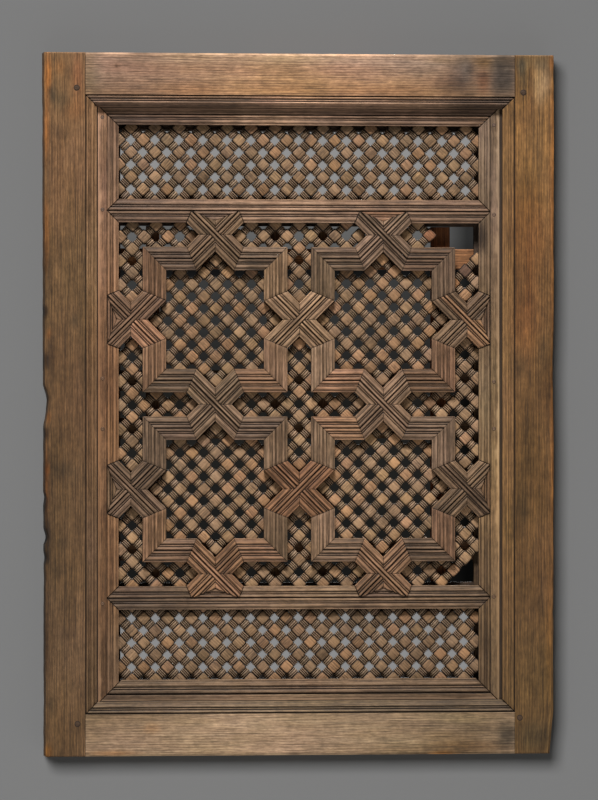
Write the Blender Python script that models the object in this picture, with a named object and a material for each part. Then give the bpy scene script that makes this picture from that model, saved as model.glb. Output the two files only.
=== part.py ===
"""A mashrabiya screen in metres: a moulded outer frame, a recessed inner frame with two cross rails,
three pierced lattices, battens behind the middle one and reeded straps on it that draw four
eight-pointed stars.

x runs across, z up, the front faces -y and the back lies in y = 0. Everything is laid out around the
middle of the strapwork, and an empty moves it so that the world's origin is on the back of the top
rail, where the screen hangs."""

import math

import bmesh
import bpy
from mathutils import Matrix, Vector

# Clearances
GAP = 0.0003
HALF_GAP = GAP / 2
WELD = 0.00001
REACH = 0.1

# Strapwork: a star is a square of half-side STAR_SIDE with a point in the middle of each side.
STAR_SIDE = 0.087
STAR_POINT = 0.034
STAR_CENTRE = STAR_SIDE + STAR_POINT
BORDER = 2 * STAR_CENTRE + STAR_POINT
STRAP_HALF = 0.0167

# The inner frame's openings
OPENING = BORDER - STRAP_HALF
CELLS_ACROSS = 15
HALF_PITCH = OPENING / CELLS_ACROSS
SMALL_CELLS_HIGH = 3
SMALL_HALF_HEIGHT = SMALL_CELLS_HIGH * HALF_PITCH
SMALL_CENTRE = BORDER + STRAP_HALF + SMALL_HALF_HEIGHT
SMALL_GROOVE = SMALL_CENTRE + SMALL_HALF_HEIGHT + STRAP_HALF

# Lattice
HOLE_HALF_DIAGONAL = 0.0072
CLEAR_OF_STRAP = STRAP_HALF + HOLE_HALF_DIAGONAL / 2
LATTICE_BACK = -0.0089
LATTICE_FRONT = -0.0203
LATTICE_TONGUE = 0.0047
BREAK_SHIFT = 0.41

# Battens
BATTEN_SPLIT = -0.0043
LEVEL_WIDTH = 0.030
UPRIGHT_WIDTH = 0.020

# Inner frame
INNER_SIDE_BAND = 0.0138
INNER_END_BAND = 0.010
INNER_TONGUE = 0.0077
INNER_FRONT = -0.028
LIP_BACK = -0.0206
GROOVE_DEPTH = 0.005
BACK_LIP = 0.0043
BACK_LIP_FRONT = -0.0086

# Outer frame
HALF_HEIGHT = 0.5005
MOULDING = 0.0179
OPENING_X = BORDER + INNER_SIDE_BAND
OPENING_Z = SMALL_GROOVE + INNER_END_BAND
SEAM_X = OPENING_X + MOULDING
SEAM_Z = OPENING_Z + MOULDING
LEFT_EDGE_TOP, LEFT_EDGE_BOTTOM = 0.3665, 0.3640
RIGHT_EDGE_TOP, RIGHT_EDGE_BOTTOM = 0.3670, 0.3590
OUTER_FRONT = -0.038
REBATE = 0.008
REBATE_DEPTH = -0.0283
TENON_LENGTH = 0.045
TENON_HEIGHT = SEAM_Z + 0.021
TENON_HALF_WIDTH = 0.018
TENON_BACK, TENON_FRONT = -0.012, -0.026
PEG_RADIUS = 0.004
PEG_SIDES = 8
PEG_FRONT = -0.0384
PEG_BACK = -0.006
PEGS = {
    "upper_left": (-0.320, 0.450),
    "upper_right": (0.322, 0.447),
    "lower_left": (-0.319, -0.454),
    "lower_right": (0.317, -0.449),
}
NOTCH_LOW, NOTCH_HIGH, NOTCH_DEPTH = -0.003, 0.034, 0.005

# Where the screen hangs: half way up the top rail's plain face, on its back.
HANG_HEIGHT = (SEAM_Z + HALF_HEIGHT) / 2

# Reeded profile: (distance from the deep middle groove, height under the crown)
REEDS = (
    (0.0, 0.0026),
    (0.0018, 0.0),
    (0.0048, 0.0018),
    (0.0070, 0.0002),
    (STRAP_HALF, 0.0022),
)
STRAP_FRONT = -0.0296

PARTS = "mashrabiya_screen"
CUTTERS = "cutters"


def clear_scene():
    for thing in list(bpy.data.objects):
        bpy.data.objects.remove(thing, do_unlink=True)


def new_collection(name, helper=False):
    made = bpy.data.collections.new(name)
    bpy.context.scene.collection.children.link(made)
    made.hide_render = helper
    return made


def wood(name, colour, roughness):
    made = bpy.data.materials.new(name)
    made.use_nodes = True
    shader = made.node_tree.nodes["Principled BSDF"]
    shader.inputs["Base Color"].default_value = (*colour, 1.0)
    shader.inputs["Roughness"].default_value = roughness
    shader.inputs["Metallic"].default_value = 0.0
    return made


def add(name, bm, stuff, parent):
    """A part from a bmesh, laid out around the strapwork's middle and hung on the parent empty."""
    mesh = bpy.data.meshes.new(name)
    bm.to_mesh(mesh)
    bm.free()
    mesh.materials.append(stuff)
    made = bpy.data.objects.new(name, mesh)
    bpy.data.collections[PARTS].objects.link(made)
    made.parent = parent
    return made


def combine(part, bm, operation):
    """Joins the shapes in bm to the part, or cuts them out of it."""
    mesh = bpy.data.meshes.new(f"{part.name}_{operation.lower()}_{len(part.modifiers)}")
    bm.to_mesh(mesh)
    bm.free()
    cutter = bpy.data.objects.new(mesh.name, mesh)
    bpy.data.collections[CUTTERS].objects.link(cutter)
    cutter.parent = part.parent
    cutter.hide_render = True
    cutter.display_type = "WIRE"
    boolean = part.modifiers.new(cutter.name, "BOOLEAN")
    boolean.operation = operation
    boolean.solver = "EXACT"
    boolean.object = cutter


def subtract(part, bm):
    combine(part, bm, "DIFFERENCE")


def extruded(outlines, low, high):
    """A bmesh of the flat outlines, holes included, in local x and y, between z = low and high."""
    curve = bpy.data.curves.new("outline", "CURVE")
    curve.dimensions = "2D"
    curve.fill_mode = "BOTH"
    curve.extrude = (high - low) / 2
    for outline in outlines:
        spline = curve.splines.new("POLY")
        spline.points.add(len(outline) - 1)
        for point, (u, v) in zip(spline.points, outline):
            point.co = (u, v, 0.0, 1.0)
        spline.use_cyclic_u = True
    guide = bpy.data.objects.new("outline", curve)
    bpy.context.scene.collection.objects.link(guide)
    graph = bpy.context.evaluated_depsgraph_get()
    mesh = bpy.data.meshes.new_from_object(guide.evaluated_get(graph))
    bm = bmesh.new()
    bm.from_mesh(mesh)
    bpy.data.meshes.remove(mesh)
    bpy.data.objects.remove(guide)
    bpy.data.curves.remove(curve)
    bmesh.ops.translate(bm, verts=bm.verts, vec=(0.0, 0.0, (high + low) / 2))
    bmesh.ops.remove_doubles(bm, verts=bm.verts, dist=WELD)
    bmesh.ops.dissolve_limit(
        bm, angle_limit=math.radians(0.1), verts=bm.verts, edges=bm.edges
    )
    bmesh.ops.recalc_face_normals(bm, faces=bm.faces)
    return bm


def standing(outlines, back, front):
    """The outlines, given as (x, z), as a plate between y = back and y = front, the lower."""
    bm = extruded(outlines, -back, -front)
    bm.transform(Matrix.Rotation(math.radians(90), 4, "X"))
    return bm


def moulded(section, start, end):
    """A section, as (distance to the right of the run, y), carried from start to end, both (x, z)."""
    start, end = Vector((start[0], 0.0, start[1])), Vector((end[0], 0.0, end[1]))
    bm = extruded([section], 0.0, (end - start).length)
    along = (end - start).normalized()
    back = Vector((0.0, 1.0, 0.0))
    across = back.cross(along)
    turn = Matrix((across, back, along)).transposed().to_4x4()
    bm.transform(Matrix.Translation(start) @ turn)
    return bm


def joined(pieces):
    """Several bmeshes as one."""
    whole = bmesh.new()
    for piece in pieces:
        mesh = bpy.data.meshes.new("piece")
        piece.to_mesh(mesh)
        piece.free()
        whole.from_mesh(mesh)
        bpy.data.meshes.remove(mesh)
    return whole


def saw(bm, point, away, close=True):
    """Cuts off what lies beyond a plane square to the front, through point and facing away."""
    normal = Vector((away[0], 0.0, away[1])).normalized()
    cut = bmesh.ops.bisect_plane(
        bm,
        geom=bm.verts[:] + bm.edges[:] + bm.faces[:],
        dist=WELD / 10,
        plane_co=(point[0], 0.0, point[1]),
        plane_no=normal,
        clear_outer=True,
    )
    if close:
        rim = [
            edge
            for edge in cut["geom_cut"]
            if isinstance(edge, bmesh.types.BMEdge) and edge.is_boundary
        ]
        bmesh.ops.contextual_create(bm, geom=rim)


def square(centre, half_diagonal):
    """A square on its corner."""
    x, z = centre
    return [
        (x + half_diagonal, z),
        (x, z + half_diagonal),
        (x - half_diagonal, z),
        (x, z - half_diagonal),
    ]


def rectangle(low_x, low_z, high_x, high_z):
    return [(low_x, low_z), (high_x, low_z), (high_x, high_z), (low_x, high_z)]


def grown(outline, by):
    """The outline, anticlockwise, with every side moved out by the same distance."""
    moved = []
    for i, corner in enumerate(outline):
        here = Vector(corner)
        before = (here - Vector(outline[i - 1])).normalized()
        after = (Vector(outline[(i + 1) % len(outline)]) - here).normalized()
        out = Vector((before.y, -before.x)), Vector((after.y, -after.x))
        moved.append(here + (out[0] + out[1]) * by / (1.0 + out[0].dot(out[1])))
    return [tuple(corner) for corner in moved]


# Straps


def strap_section():
    right = [(d, STRAP_FRONT + drop) for d, drop in REEDS]
    left = [(-d, y) for d, y in reversed(right[1:])]
    return [(-STRAP_HALF, LIP_BACK), *left, *right, (STRAP_HALF, LIP_BACK)]


def mitre(bm, end, here, there, close=True):
    """Saws a run, whose body lies towards here, where it meets one that leaves towards there."""
    away = (Vector(there).normalized() - Vector(here).normalized()).normalized()
    back = Vector(end) - away * (HALF_GAP if close else 0.0)
    saw(bm, back, away, close)


def corner_strap(centre, sign_x, sign_z):
    """The two bars at one corner of a star, mitred to each other."""
    corner = Vector((centre[0] + sign_x * STAR_SIDE, centre[1] + sign_z * STAR_SIDE))
    bars = []
    for inward, other in (
        (Vector((0.0, -sign_z)), Vector((-sign_x, 0.0))),
        (Vector((-sign_x, 0.0)), Vector((0.0, -sign_z))),
    ):
        end = corner + inward * (STAR_SIDE - STAR_POINT)
        to_point = inward - other
        bar = moulded(strap_section(), corner - inward * REACH, end + inward * REACH)
        mitre(bar, end, -inward, to_point)
        mitre(bar, corner, inward, other, close=False)
        bars.append(bar)
    bm = joined(bars)
    bmesh.ops.remove_doubles(bm, verts=bm.verts, dist=WELD)
    return bm


def runs_met(end, sign_x, sign_z):
    """The directions of what an arm meets at its end: the inner frame's moulding, or a bar of a star."""
    if abs(end.x) > BORDER - WELD:
        return [Vector((0.0, sign_z)), Vector((0.0, -sign_z))]
    if abs(end.y) > BORDER - WELD:
        return [Vector((sign_x, 0.0)), Vector((-sign_x, 0.0))]
    off_x = end.x - math.copysign(STAR_CENTRE, end.x)
    off_z = end.y - math.copysign(STAR_CENTRE, end.y)
    if abs(off_x) > abs(off_z):
        return [Vector((0.0, math.copysign(1.0, off_z)))]
    return [Vector((math.copysign(1.0, off_x), 0.0))]


def crossing_strap(centre):
    """Four arms that cross at a point shared by two stars, or by a star and the inner frame."""
    middle = Vector(centre)
    arms = []
    for sign_x in (-1, 1):
        for sign_z in (-1, 1):
            run = Vector((sign_x, sign_z))
            end = middle + run * STAR_POINT
            arm = moulded(strap_section(), middle - run * REACH, end + run * REACH)
            for met in runs_met(end, sign_x, sign_z):
                mitre(arm, end, -run, met)
            for side in (Vector((-sign_z, sign_x)), Vector((sign_z, -sign_x))):
                mitre(arm, middle, run, side, close=False)
            arms.append(arm)
    bm = joined(arms)
    bmesh.ops.remove_doubles(bm, verts=bm.verts, dist=WELD)
    return bm


def crossing_centres():
    along = (-STAR_CENTRE, STAR_CENTRE)
    across = (-2 * STAR_CENTRE, 0.0, 2 * STAR_CENTRE)
    return [(x, z) for x in across for z in along] + [
        (x, z) for x in along for z in across
    ]


def strap_segments():
    """The middle lines of all the straps, as pairs of ends."""
    segments = []
    for x, z in crossing_centres():
        for sign_x in (-1, 1):
            for sign_z in (-1, 1):
                end = (x + sign_x * STAR_POINT, z + sign_z * STAR_POINT)
                segments.append((Vector((x, z)), Vector(end)))
    for centre_x in (-STAR_CENTRE, STAR_CENTRE):
        for centre_z in (-STAR_CENTRE, STAR_CENTRE):
            for sign_x in (-1, 1):
                for sign_z in (-1, 1):
                    corner = Vector(
                        (centre_x + sign_x * STAR_SIDE, centre_z + sign_z * STAR_SIDE)
                    )
                    length = STAR_SIDE - STAR_POINT
                    segments.append((corner, corner - Vector((0, sign_z * length))))
                    segments.append((corner, corner - Vector((sign_x * length, 0))))
    return segments


def distance_to(point, segment):
    start, end = segment
    along = (end - start).normalized()
    run = min(max((point - start).dot(along), 0.0), (end - start).length)
    return (point - start - along * run).length


# Lattices


def on_batten(value):
    """Whether a level or upright batten's middle line runs at this height or place."""
    lines = (STAR_POINT, 2 * STAR_CENTRE - STAR_POINT)
    return min(abs(abs(value) - line) for line in lines) < HALF_PITCH / 2


def in_break(m, n):
    """Whether the hole m across and n up, in half pitches, has gone with the broken corners."""
    if m - n >= 28:
        return True
    return m + n >= 24 and m - n <= 2 and (m - n >= -2 or m + n >= 26)


def middle_lattice_holes():
    """Every hole that no strap covers in front and no batten closes behind. The rest stay solid."""
    segments = strap_segments()
    last = CELLS_ACROSS - 1
    holes = []
    for m in range(-last, last + 1):
        for n in range(-last, last + 1):
            if (m + n) % 2 or in_break(m, n):
                continue
            centre = Vector((m * HALF_PITCH, n * HALF_PITCH))
            if on_batten(centre.x) or on_batten(centre.y):
                continue
            if min(distance_to(centre, strap) for strap in segments) < CLEAR_OF_STRAP:
                continue
            holes.append(square(centre, HOLE_HALF_DIAGONAL))
    return holes


def from_diagonals(total, difference):
    """The point where the two coordinates, in half pitches, have this sum and this difference."""
    return (
        (total + difference) / 2 * HALF_PITCH,
        (total - difference) / 2 * HALF_PITCH,
    )


def middle_lattice_outline():
    """The square plate without its two broken corners."""
    edge = OPENING + LATTICE_TONGUE
    steps = edge / HALF_PITCH
    low_break = 28 - BREAK_SHIFT
    upper, lower, side = 26 - BREAK_SHIFT, 24 - BREAK_SHIFT, 2 + BREAK_SHIFT
    return [
        (-edge, -edge),
        from_diagonals(low_break - 2 * steps, low_break),
        from_diagonals(2 * steps - low_break, low_break),
        from_diagonals(2 * steps - side, side),
        from_diagonals(lower, side),
        from_diagonals(lower, -side),
        from_diagonals(upper, -side),
        from_diagonals(upper, upper - 2 * steps),
        (-edge, edge),
    ]


def middle_lattice():
    return standing(
        [middle_lattice_outline(), *middle_lattice_holes()], LATTICE_BACK, LATTICE_FRONT
    )


def small_lattice(height):
    """One of the two low lattices, around this height."""
    edge_x = OPENING + LATTICE_TONGUE
    edge_z = SMALL_HALF_HEIGHT + LATTICE_TONGUE
    outlines = [rectangle(-edge_x, height - edge_z, edge_x, height + edge_z)]
    for m in range(1 - CELLS_ACROSS, CELLS_ACROSS):
        for n in range(1 - SMALL_CELLS_HIGH, SMALL_CELLS_HIGH):
            if (m + n) % 2 == 0:
                centre = (m * HALF_PITCH, height + n * HALF_PITCH)
                outlines.append(square(centre, HOLE_HALF_DIAGONAL))
    return standing(outlines, LATTICE_BACK, LATTICE_FRONT)


def batten(low, high, back, front):
    return standing([rectangle(*low, *high)], back, front)


# Inner frame


def opening_section(outer, profile, front):
    """A member's section as (distance from its middle groove to the opening, y)."""
    back_edge = STRAP_HALF + BACK_LIP
    groove = STRAP_HALF - GROOVE_DEPTH
    return [
        (outer, 0.0),
        (back_edge, 0.0),
        (back_edge, BACK_LIP_FRONT),
        (groove, BACK_LIP_FRONT),
        (groove, LIP_BACK),
        (STRAP_HALF, LIP_BACK),
        *[(d, front + drop) for d, drop in reversed(profile)],
        (-profile[1][0], front),
        (outer, front),
    ]


def turned_over(section):
    """The same section with the opening on the left of the run."""
    return [(-d, y) for d, y in reversed(section)]


def inner_stile(sign):
    """The right stile for 1 and the left one for -1."""
    top = OPENING_Z + INNER_TONGUE
    outer = -INNER_SIDE_BAND - INNER_TONGUE
    section = turned_over(opening_section(outer, REEDS, INNER_FRONT))
    bm = moulded(section, (sign * BORDER, -sign * top), (sign * BORDER, sign * top))
    for end in (-1, 1):
        corner = (sign * (BORDER + HALF_GAP), end * SMALL_GROOVE)
        saw(bm, corner, (-sign, end))
    return bm


def inner_rail(sign):
    """The top rail for 1 and the bottom one for -1."""
    outer = -INNER_END_BAND - INNER_TONGUE
    section = turned_over(opening_section(outer, REEDS, INNER_FRONT))
    reach = BORDER + REACH
    height = sign * SMALL_GROOVE
    bm = moulded(section, (sign * reach, height), (-sign * reach, height))
    for side in (-1, 1):
        saw(bm, (side * BORDER, sign * (SMALL_GROOVE + HALF_GAP)), (side, -sign))
    return bm


def cross_rail(sign):
    """The upper cross rail for 1 and the lower one for -1, pointed where it meets the stiles."""
    right = opening_section(0.0, REEDS, INNER_FRONT)[1:-2]
    section = [*right, *turned_over(right[:-1])]
    height = sign * BORDER
    reach = BORDER + REACH
    bm = moulded(section, (-reach, height), (reach, height))
    for side in (-1, 1):
        for slope in (-1, 1):
            tip = (side * BORDER - side * HALF_GAP * math.sqrt(2), height)
            saw(bm, tip, (side, slope))
    return bm


def quarter_turns(outline, turns):
    for _ in range(turns):
        outline = [(-z, x) for x, z in outline]
    return outline


def housings(turns, heights):
    """Room for the crossings' arms in the moulding, at these quarter turns from the right side."""
    incentre = STAR_POINT * (math.sqrt(2) - 1)
    shoulder = STAR_POINT + STRAP_HALF * math.tan(math.radians(22.5))
    inside = OPENING - STRAP_HALF
    shapes = []
    for height in heights:
        outline = [
            (inside, height - shoulder),
            (OPENING, height - shoulder),
            (BORDER, height - STAR_POINT),
            (BORDER - incentre, height),
            (BORDER, height + STAR_POINT),
            (OPENING, height + shoulder),
            (inside, height + shoulder),
        ]
        shapes.append(quarter_turns(grown(outline, HALF_GAP), turns))
    return [standing([shape], LIP_BACK + GAP, OUTER_FRONT) for shape in shapes]


def cross_rail_notches(sign):
    """Pointed notches through a stile, where the cross rails run into it."""
    reach = BORDER - STRAP_HALF - 2 * BACK_LIP
    depth = BORDER - reach
    shapes = []
    for height in (-BORDER, BORDER):
        outline = [(BORDER, height), (reach, height + depth), (reach, height - depth)]
        shape = grown(outline, HALF_GAP)
        shapes.append([(sign * x, z) for x, z in shape])
    return [standing([shape], REACH, -REACH) for shape in shapes]


# Outer frame

OUTER_REEDS = (
    (0.0, 0.0),
    (0.0009, 0.0020),
    (0.0026, 0.0002),
    (0.0054, 0.0018),
    (0.0066, 0.0006),
    (0.0080, 0.0018),
    (0.0100, 0.0004),
    (MOULDING, 0.0062),
)


def outer_section(width):
    """A member's section as (distance inwards from its plain face's inner edge, y)."""
    rebate_edge = MOULDING - REBATE
    return [
        (-width, 0.0),
        (rebate_edge, 0.0),
        (rebate_edge, REBATE_DEPTH),
        (MOULDING, REBATE_DEPTH),
        *[(d, OUTER_FRONT + drop) for d, drop in reversed(OUTER_REEDS)],
        (-width, OUTER_FRONT),
    ]


def outer_stile(sign, edge_bottom, edge_top):
    """A full-height stile, its outer edge sawn slightly out of plumb."""
    section = turned_over(outer_section(REACH))
    end = HALF_HEIGHT * sign
    bm = moulded(section, (sign * SEAM_X, -end), (sign * SEAM_X, end))
    lean = (edge_bottom - edge_top) / (2 * HALF_HEIGHT)
    middle = sign * (edge_bottom + edge_top) / 2
    saw(bm, (middle, 0.0), (sign, lean))
    return bm


def rail_ends_room(sign):
    """What the rails' mitred mouldings take out of a stile's."""
    above = HALF_HEIGHT + REACH
    corner = [
        (SEAM_X, SEAM_Z),
        (SEAM_X, above),
        (OPENING_X - REBATE, above),
        (OPENING_X - REBATE, OPENING_Z - REBATE),
    ]
    shapes = []
    for end in (-1, 1):
        shapes.append([(sign * x, end * z) for x, z in grown(corner, HALF_GAP)])
    return [standing([shape], REACH, -REACH) for shape in shapes]


def tenon(sign, end, room):
    """A rail's tenon towards one stile, or with room its mortise."""
    low = TENON_HEIGHT - TENON_HALF_WIDTH - room
    high = TENON_HEIGHT + TENON_HALF_WIDTH + room
    inner = SEAM_X - TENON_LENGTH / 2
    outer = SEAM_X + TENON_LENGTH + room
    shape = [(sign * x, end * z) for x, z in rectangle(inner, low, outer, high)]
    return standing([shape], TENON_BACK + room, TENON_FRONT - room)


def outer_rail(sign):
    """The top rail for 1 and the bottom one for -1, without its tenons."""
    section = turned_over(outer_section(HALF_HEIGHT - SEAM_Z))
    reach = SEAM_X - HALF_GAP
    height = sign * SEAM_Z
    bm = moulded(section, (sign * reach, height), (-sign * reach, height))
    for side in (-1, 1):
        saw(bm, (side * SEAM_X, sign * (SEAM_Z + HALF_GAP)), (side, -sign))
    return bm


def edge_notch():
    """The bite out of the left stile's outer edge."""
    shape = [
        (-LEFT_EDGE_TOP - NOTCH_DEPTH, NOTCH_LOW - NOTCH_DEPTH),
        (-LEFT_EDGE_BOTTOM + NOTCH_DEPTH, NOTCH_LOW + NOTCH_DEPTH),
        (-LEFT_EDGE_BOTTOM + NOTCH_DEPTH, NOTCH_HIGH - NOTCH_DEPTH),
        (-LEFT_EDGE_TOP - NOTCH_DEPTH, NOTCH_HIGH + NOTCH_DEPTH),
    ]
    return standing([shape], REACH, -REACH)


def peg(place, radius, back, front):
    """A round peg through the frame at this place, or with a larger radius and reach its hole."""
    bm = bmesh.new()
    bmesh.ops.create_cone(
        bm,
        cap_ends=True,
        segments=PEG_SIDES,
        radius1=radius,
        radius2=radius,
        depth=back - front,
    )
    bm.transform(Matrix.Rotation(math.radians(90), 4, "X"))
    bmesh.ops.translate(
        bm, verts=bm.verts, vec=(place[0], (back + front) / 2, place[1])
    )
    return bm


def peg_holes(corners):
    holes = [
        peg(PEGS[corner], PEG_RADIUS + GAP, PEG_BACK + GAP, -REACH)
        for corner in corners
    ]
    return joined(holes)


# Assembly


def build_outer_frame(parent):
    stuff = wood("outer_frame_wood", (0.20, 0.125, 0.07), 0.72)
    edges = {
        "left": (-1, LEFT_EDGE_BOTTOM, LEFT_EDGE_TOP),
        "right": (1, RIGHT_EDGE_BOTTOM, RIGHT_EDGE_TOP),
    }
    for side, (sign, bottom, top) in edges.items():
        stile = add(side + "_stile", outer_stile(sign, bottom, top), stuff, parent)
        room = rail_ends_room(sign)
        if side == "left":
            room.append(edge_notch())
        subtract(stile, joined(room))
        subtract(stile, joined([tenon(sign, end, GAP) for end in (-1, 1)]))
        subtract(stile, peg_holes([f"upper_{side}", f"lower_{side}"]))
    for name, end, level in (("top", 1, "upper"), ("bottom", -1, "lower")):
        rail = add(name + "_rail", outer_rail(end), stuff, parent)
        combine(rail, joined([tenon(sign, end, 0.0) for sign in (-1, 1)]), "UNION")
        subtract(rail, peg_holes([f"{level}_left", f"{level}_right"]))
    stuff = wood("peg_wood", (0.12, 0.075, 0.045), 0.75)
    for corner, place in PEGS.items():
        made = peg(place, PEG_RADIUS, PEG_BACK, PEG_FRONT)
        add(corner + "_peg", made, stuff, parent)


def build_inner_frame(parent):
    stuff = wood("inner_frame_wood", (0.19, 0.115, 0.066), 0.70)
    heights = (-STAR_CENTRE, STAR_CENTRE)
    for name, sign, turns in (("left", -1, 2), ("right", 1, 0)):
        stile = add(f"inner_{name}_stile", inner_stile(sign), stuff, parent)
        subtract(stile, joined(cross_rail_notches(sign) + housings(turns, heights)))
    for name, sign in (("top", 1), ("bottom", -1)):
        add(f"inner_{name}_rail", inner_rail(sign), stuff, parent)
    for name, sign, turns in (("upper", 1, 1), ("lower", -1, 3)):
        rail = add(f"{name}_cross_rail", cross_rail(sign), stuff, parent)
        subtract(rail, joined(housings(turns, heights)))


def build_lattices(parent):
    stuff = wood("lattice_wood", (0.24, 0.15, 0.09), 0.75)
    add("upper_lattice", small_lattice(SMALL_CENTRE), stuff, parent)
    add("middle_lattice", middle_lattice(), stuff, parent)
    add("lower_lattice", small_lattice(-SMALL_CENTRE), stuff, parent)


def build_battens(parent):
    stuff = wood("batten_wood", (0.13, 0.085, 0.055), 0.80)
    far = OPENING - BACK_LIP - GAP
    lines = (
        STAR_POINT - 2 * STAR_CENTRE,
        -STAR_POINT,
        STAR_POINT,
        2 * STAR_CENTRE - STAR_POINT,
    )
    for number, line in enumerate(lines, 1):
        half = UPRIGHT_WIDTH / 2
        bm = batten((line - half, -far), (line + half, far), 0.0, BATTEN_SPLIT + HALF_GAP)
        add(f"upright_batten_{number}", bm, stuff, parent)
        half = LEVEL_WIDTH / 2
        bm = batten(
            (-far, line - half), (far, line + half), BATTEN_SPLIT - HALF_GAP, BACK_LIP_FRONT
        )
        add(f"level_batten_{number}", bm, stuff, parent)


def build_straps(parent):
    stuff = wood("strap_wood", (0.20, 0.12, 0.07), 0.70)
    for number, centre in enumerate(crossing_centres(), 1):
        add(f"crossing_strap_{number:02d}", crossing_strap(centre), stuff, parent)
    number = 0
    for centre_x in (-STAR_CENTRE, STAR_CENTRE):
        for centre_z in (-STAR_CENTRE, STAR_CENTRE):
            for sign_x in (-1, 1):
                for sign_z in (-1, 1):
                    number += 1
                    bm = corner_strap((centre_x, centre_z), sign_x, sign_z)
                    add(f"star_corner_{number:02d}", bm, stuff, parent)


def build():
    clear_scene()
    new_collection(PARTS)
    new_collection(CUTTERS, helper=True)
    middle = bpy.data.objects.new("strapwork_middle", None)
    bpy.data.collections[PARTS].objects.link(middle)
    middle.location = (0.0, 0.0, -HANG_HEIGHT)
    build_outer_frame(middle)
    build_inner_frame(middle)
    build_lattices(middle)
    build_battens(middle)
    build_straps(middle)


build()
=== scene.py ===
# %% [markdown]
# # A mashrabiya screen
# An old window screen of turned and moulded wood: an outer frame, an inner frame with two cross
# rails, three lattices of small turned blocks and links, and reeded straps that draw four
# eight-pointed stars. The solids are already made and measured. This script dresses them: every
# part gets its real mouldings, its worn edges and its old wood.

import math

import bpy
import numpy as np
from mathutils import Matrix, Vector


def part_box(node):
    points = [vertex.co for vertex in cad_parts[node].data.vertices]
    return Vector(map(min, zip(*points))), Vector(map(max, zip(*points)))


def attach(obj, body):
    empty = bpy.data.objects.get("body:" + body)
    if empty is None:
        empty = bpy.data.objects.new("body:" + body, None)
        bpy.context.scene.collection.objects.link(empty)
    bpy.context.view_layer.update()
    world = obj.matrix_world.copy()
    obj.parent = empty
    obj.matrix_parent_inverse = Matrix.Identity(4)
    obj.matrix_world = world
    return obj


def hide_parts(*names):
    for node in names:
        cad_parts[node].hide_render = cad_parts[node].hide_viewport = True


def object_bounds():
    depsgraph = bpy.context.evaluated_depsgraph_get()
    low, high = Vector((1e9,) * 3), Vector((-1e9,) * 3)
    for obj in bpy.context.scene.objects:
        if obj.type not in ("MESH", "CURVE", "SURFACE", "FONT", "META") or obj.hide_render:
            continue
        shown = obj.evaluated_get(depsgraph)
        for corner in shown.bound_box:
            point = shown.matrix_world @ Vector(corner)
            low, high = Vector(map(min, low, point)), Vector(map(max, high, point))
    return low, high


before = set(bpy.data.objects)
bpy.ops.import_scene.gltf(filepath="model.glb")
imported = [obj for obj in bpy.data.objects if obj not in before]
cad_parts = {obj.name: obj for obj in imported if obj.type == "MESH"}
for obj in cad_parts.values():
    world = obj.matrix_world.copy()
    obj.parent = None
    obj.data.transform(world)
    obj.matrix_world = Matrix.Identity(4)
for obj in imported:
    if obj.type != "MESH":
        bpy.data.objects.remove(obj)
cad_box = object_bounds()
print("solids:", len(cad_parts), "box:", [tuple(round(c, 4) for c in p) for p in cad_box])

# %% [markdown]
# A joiner sets a screen like this out from its middle, so every size here is measured from the
# middle of the star pattern: x across, z up, and y towards the wall. MIDDLE is the height of that
# point in the row frame, and each piece is moved there as it is finished.

# %% Sizes in metres
stile_low, stile_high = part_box("left_stile")
MIDDLE = (stile_low.z + stile_high.z) / 2
STAR_SIDE = 0.087
STAR_POINT = 0.034
STAR_CENTRE = STAR_SIDE + STAR_POINT
BORDER = 2 * STAR_CENTRE + STAR_POINT
STRAP_HALF = 0.0167
OPENING = BORDER - STRAP_HALF
CELLS = 15
HALF_PITCH = OPENING / CELLS
SMALL_ROWS = 3
SMALL_CENTRE = BORDER + STRAP_HALF + SMALL_ROWS * HALF_PITCH
SMALL_GROOVE = SMALL_CENTRE + SMALL_ROWS * HALF_PITCH + STRAP_HALF
HALF_HEIGHT = 0.5005
SIDE_BAND, END_BAND, MOULDING = 0.0138, 0.010, 0.0179
SEAM_X = BORDER + SIDE_BAND + MOULDING
SEAM_Z = SMALL_GROOVE + END_BAND + MOULDING
STRAP_FRONT = -0.0296
STRAP_BACK = -0.0206
INNER_FRONT = -0.028
OUTER_FRONT = -0.038
print("middle of the stars at z =", round(MIDDLE, 5), "half pitch", round(HALF_PITCH, 5))

# %% [markdown]
# ## Small helpers
# Node trees are long to write out, so these few helpers make a node, feed its inputs and start a
# group with named inputs and outputs. They serve both Geometry Nodes and shaders.


# %% Helpers for node trees
def node(tree, kind, feeds=(), **settings):
    """One node, with its settings made and its inputs fed by values or by other nodes' sockets."""
    made = tree.nodes.new(kind)
    for name, value in settings.items():
        setattr(made, name, value)
    for key, value in feeds.items() if isinstance(feeds, dict) else enumerate(feeds):
        if isinstance(value, bpy.types.NodeSocket):
            tree.links.new(value, made.inputs[key])
        elif value is not None:
            made.inputs[key].default_value = value
    return made


def maths(tree, operation, *values, clamp=False):
    """One step of arithmetic."""
    made = node(tree, "ShaderNodeMath", values, operation=operation, use_clamp=clamp)
    return made.outputs[0]


def vector_maths(tree, operation, *values):
    """One step of arithmetic on vectors."""
    return node(tree, "ShaderNodeVectorMath", values, operation=operation).outputs[0]


def ranged(tree, value, *limits, **settings):
    """A value carried from one range to another: its low and high, then the new low and high."""
    return node(tree, "ShaderNodeMapRange", (value, *limits), **settings).outputs[0]


def split(tree, vector):
    """The three parts of a vector."""
    return node(tree, "ShaderNodeSeparateXYZ", (vector,)).outputs


def vector_of(tree, *parts):
    """A vector from its three parts."""
    return node(tree, "ShaderNodeCombineXYZ", parts).outputs[0]


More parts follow.
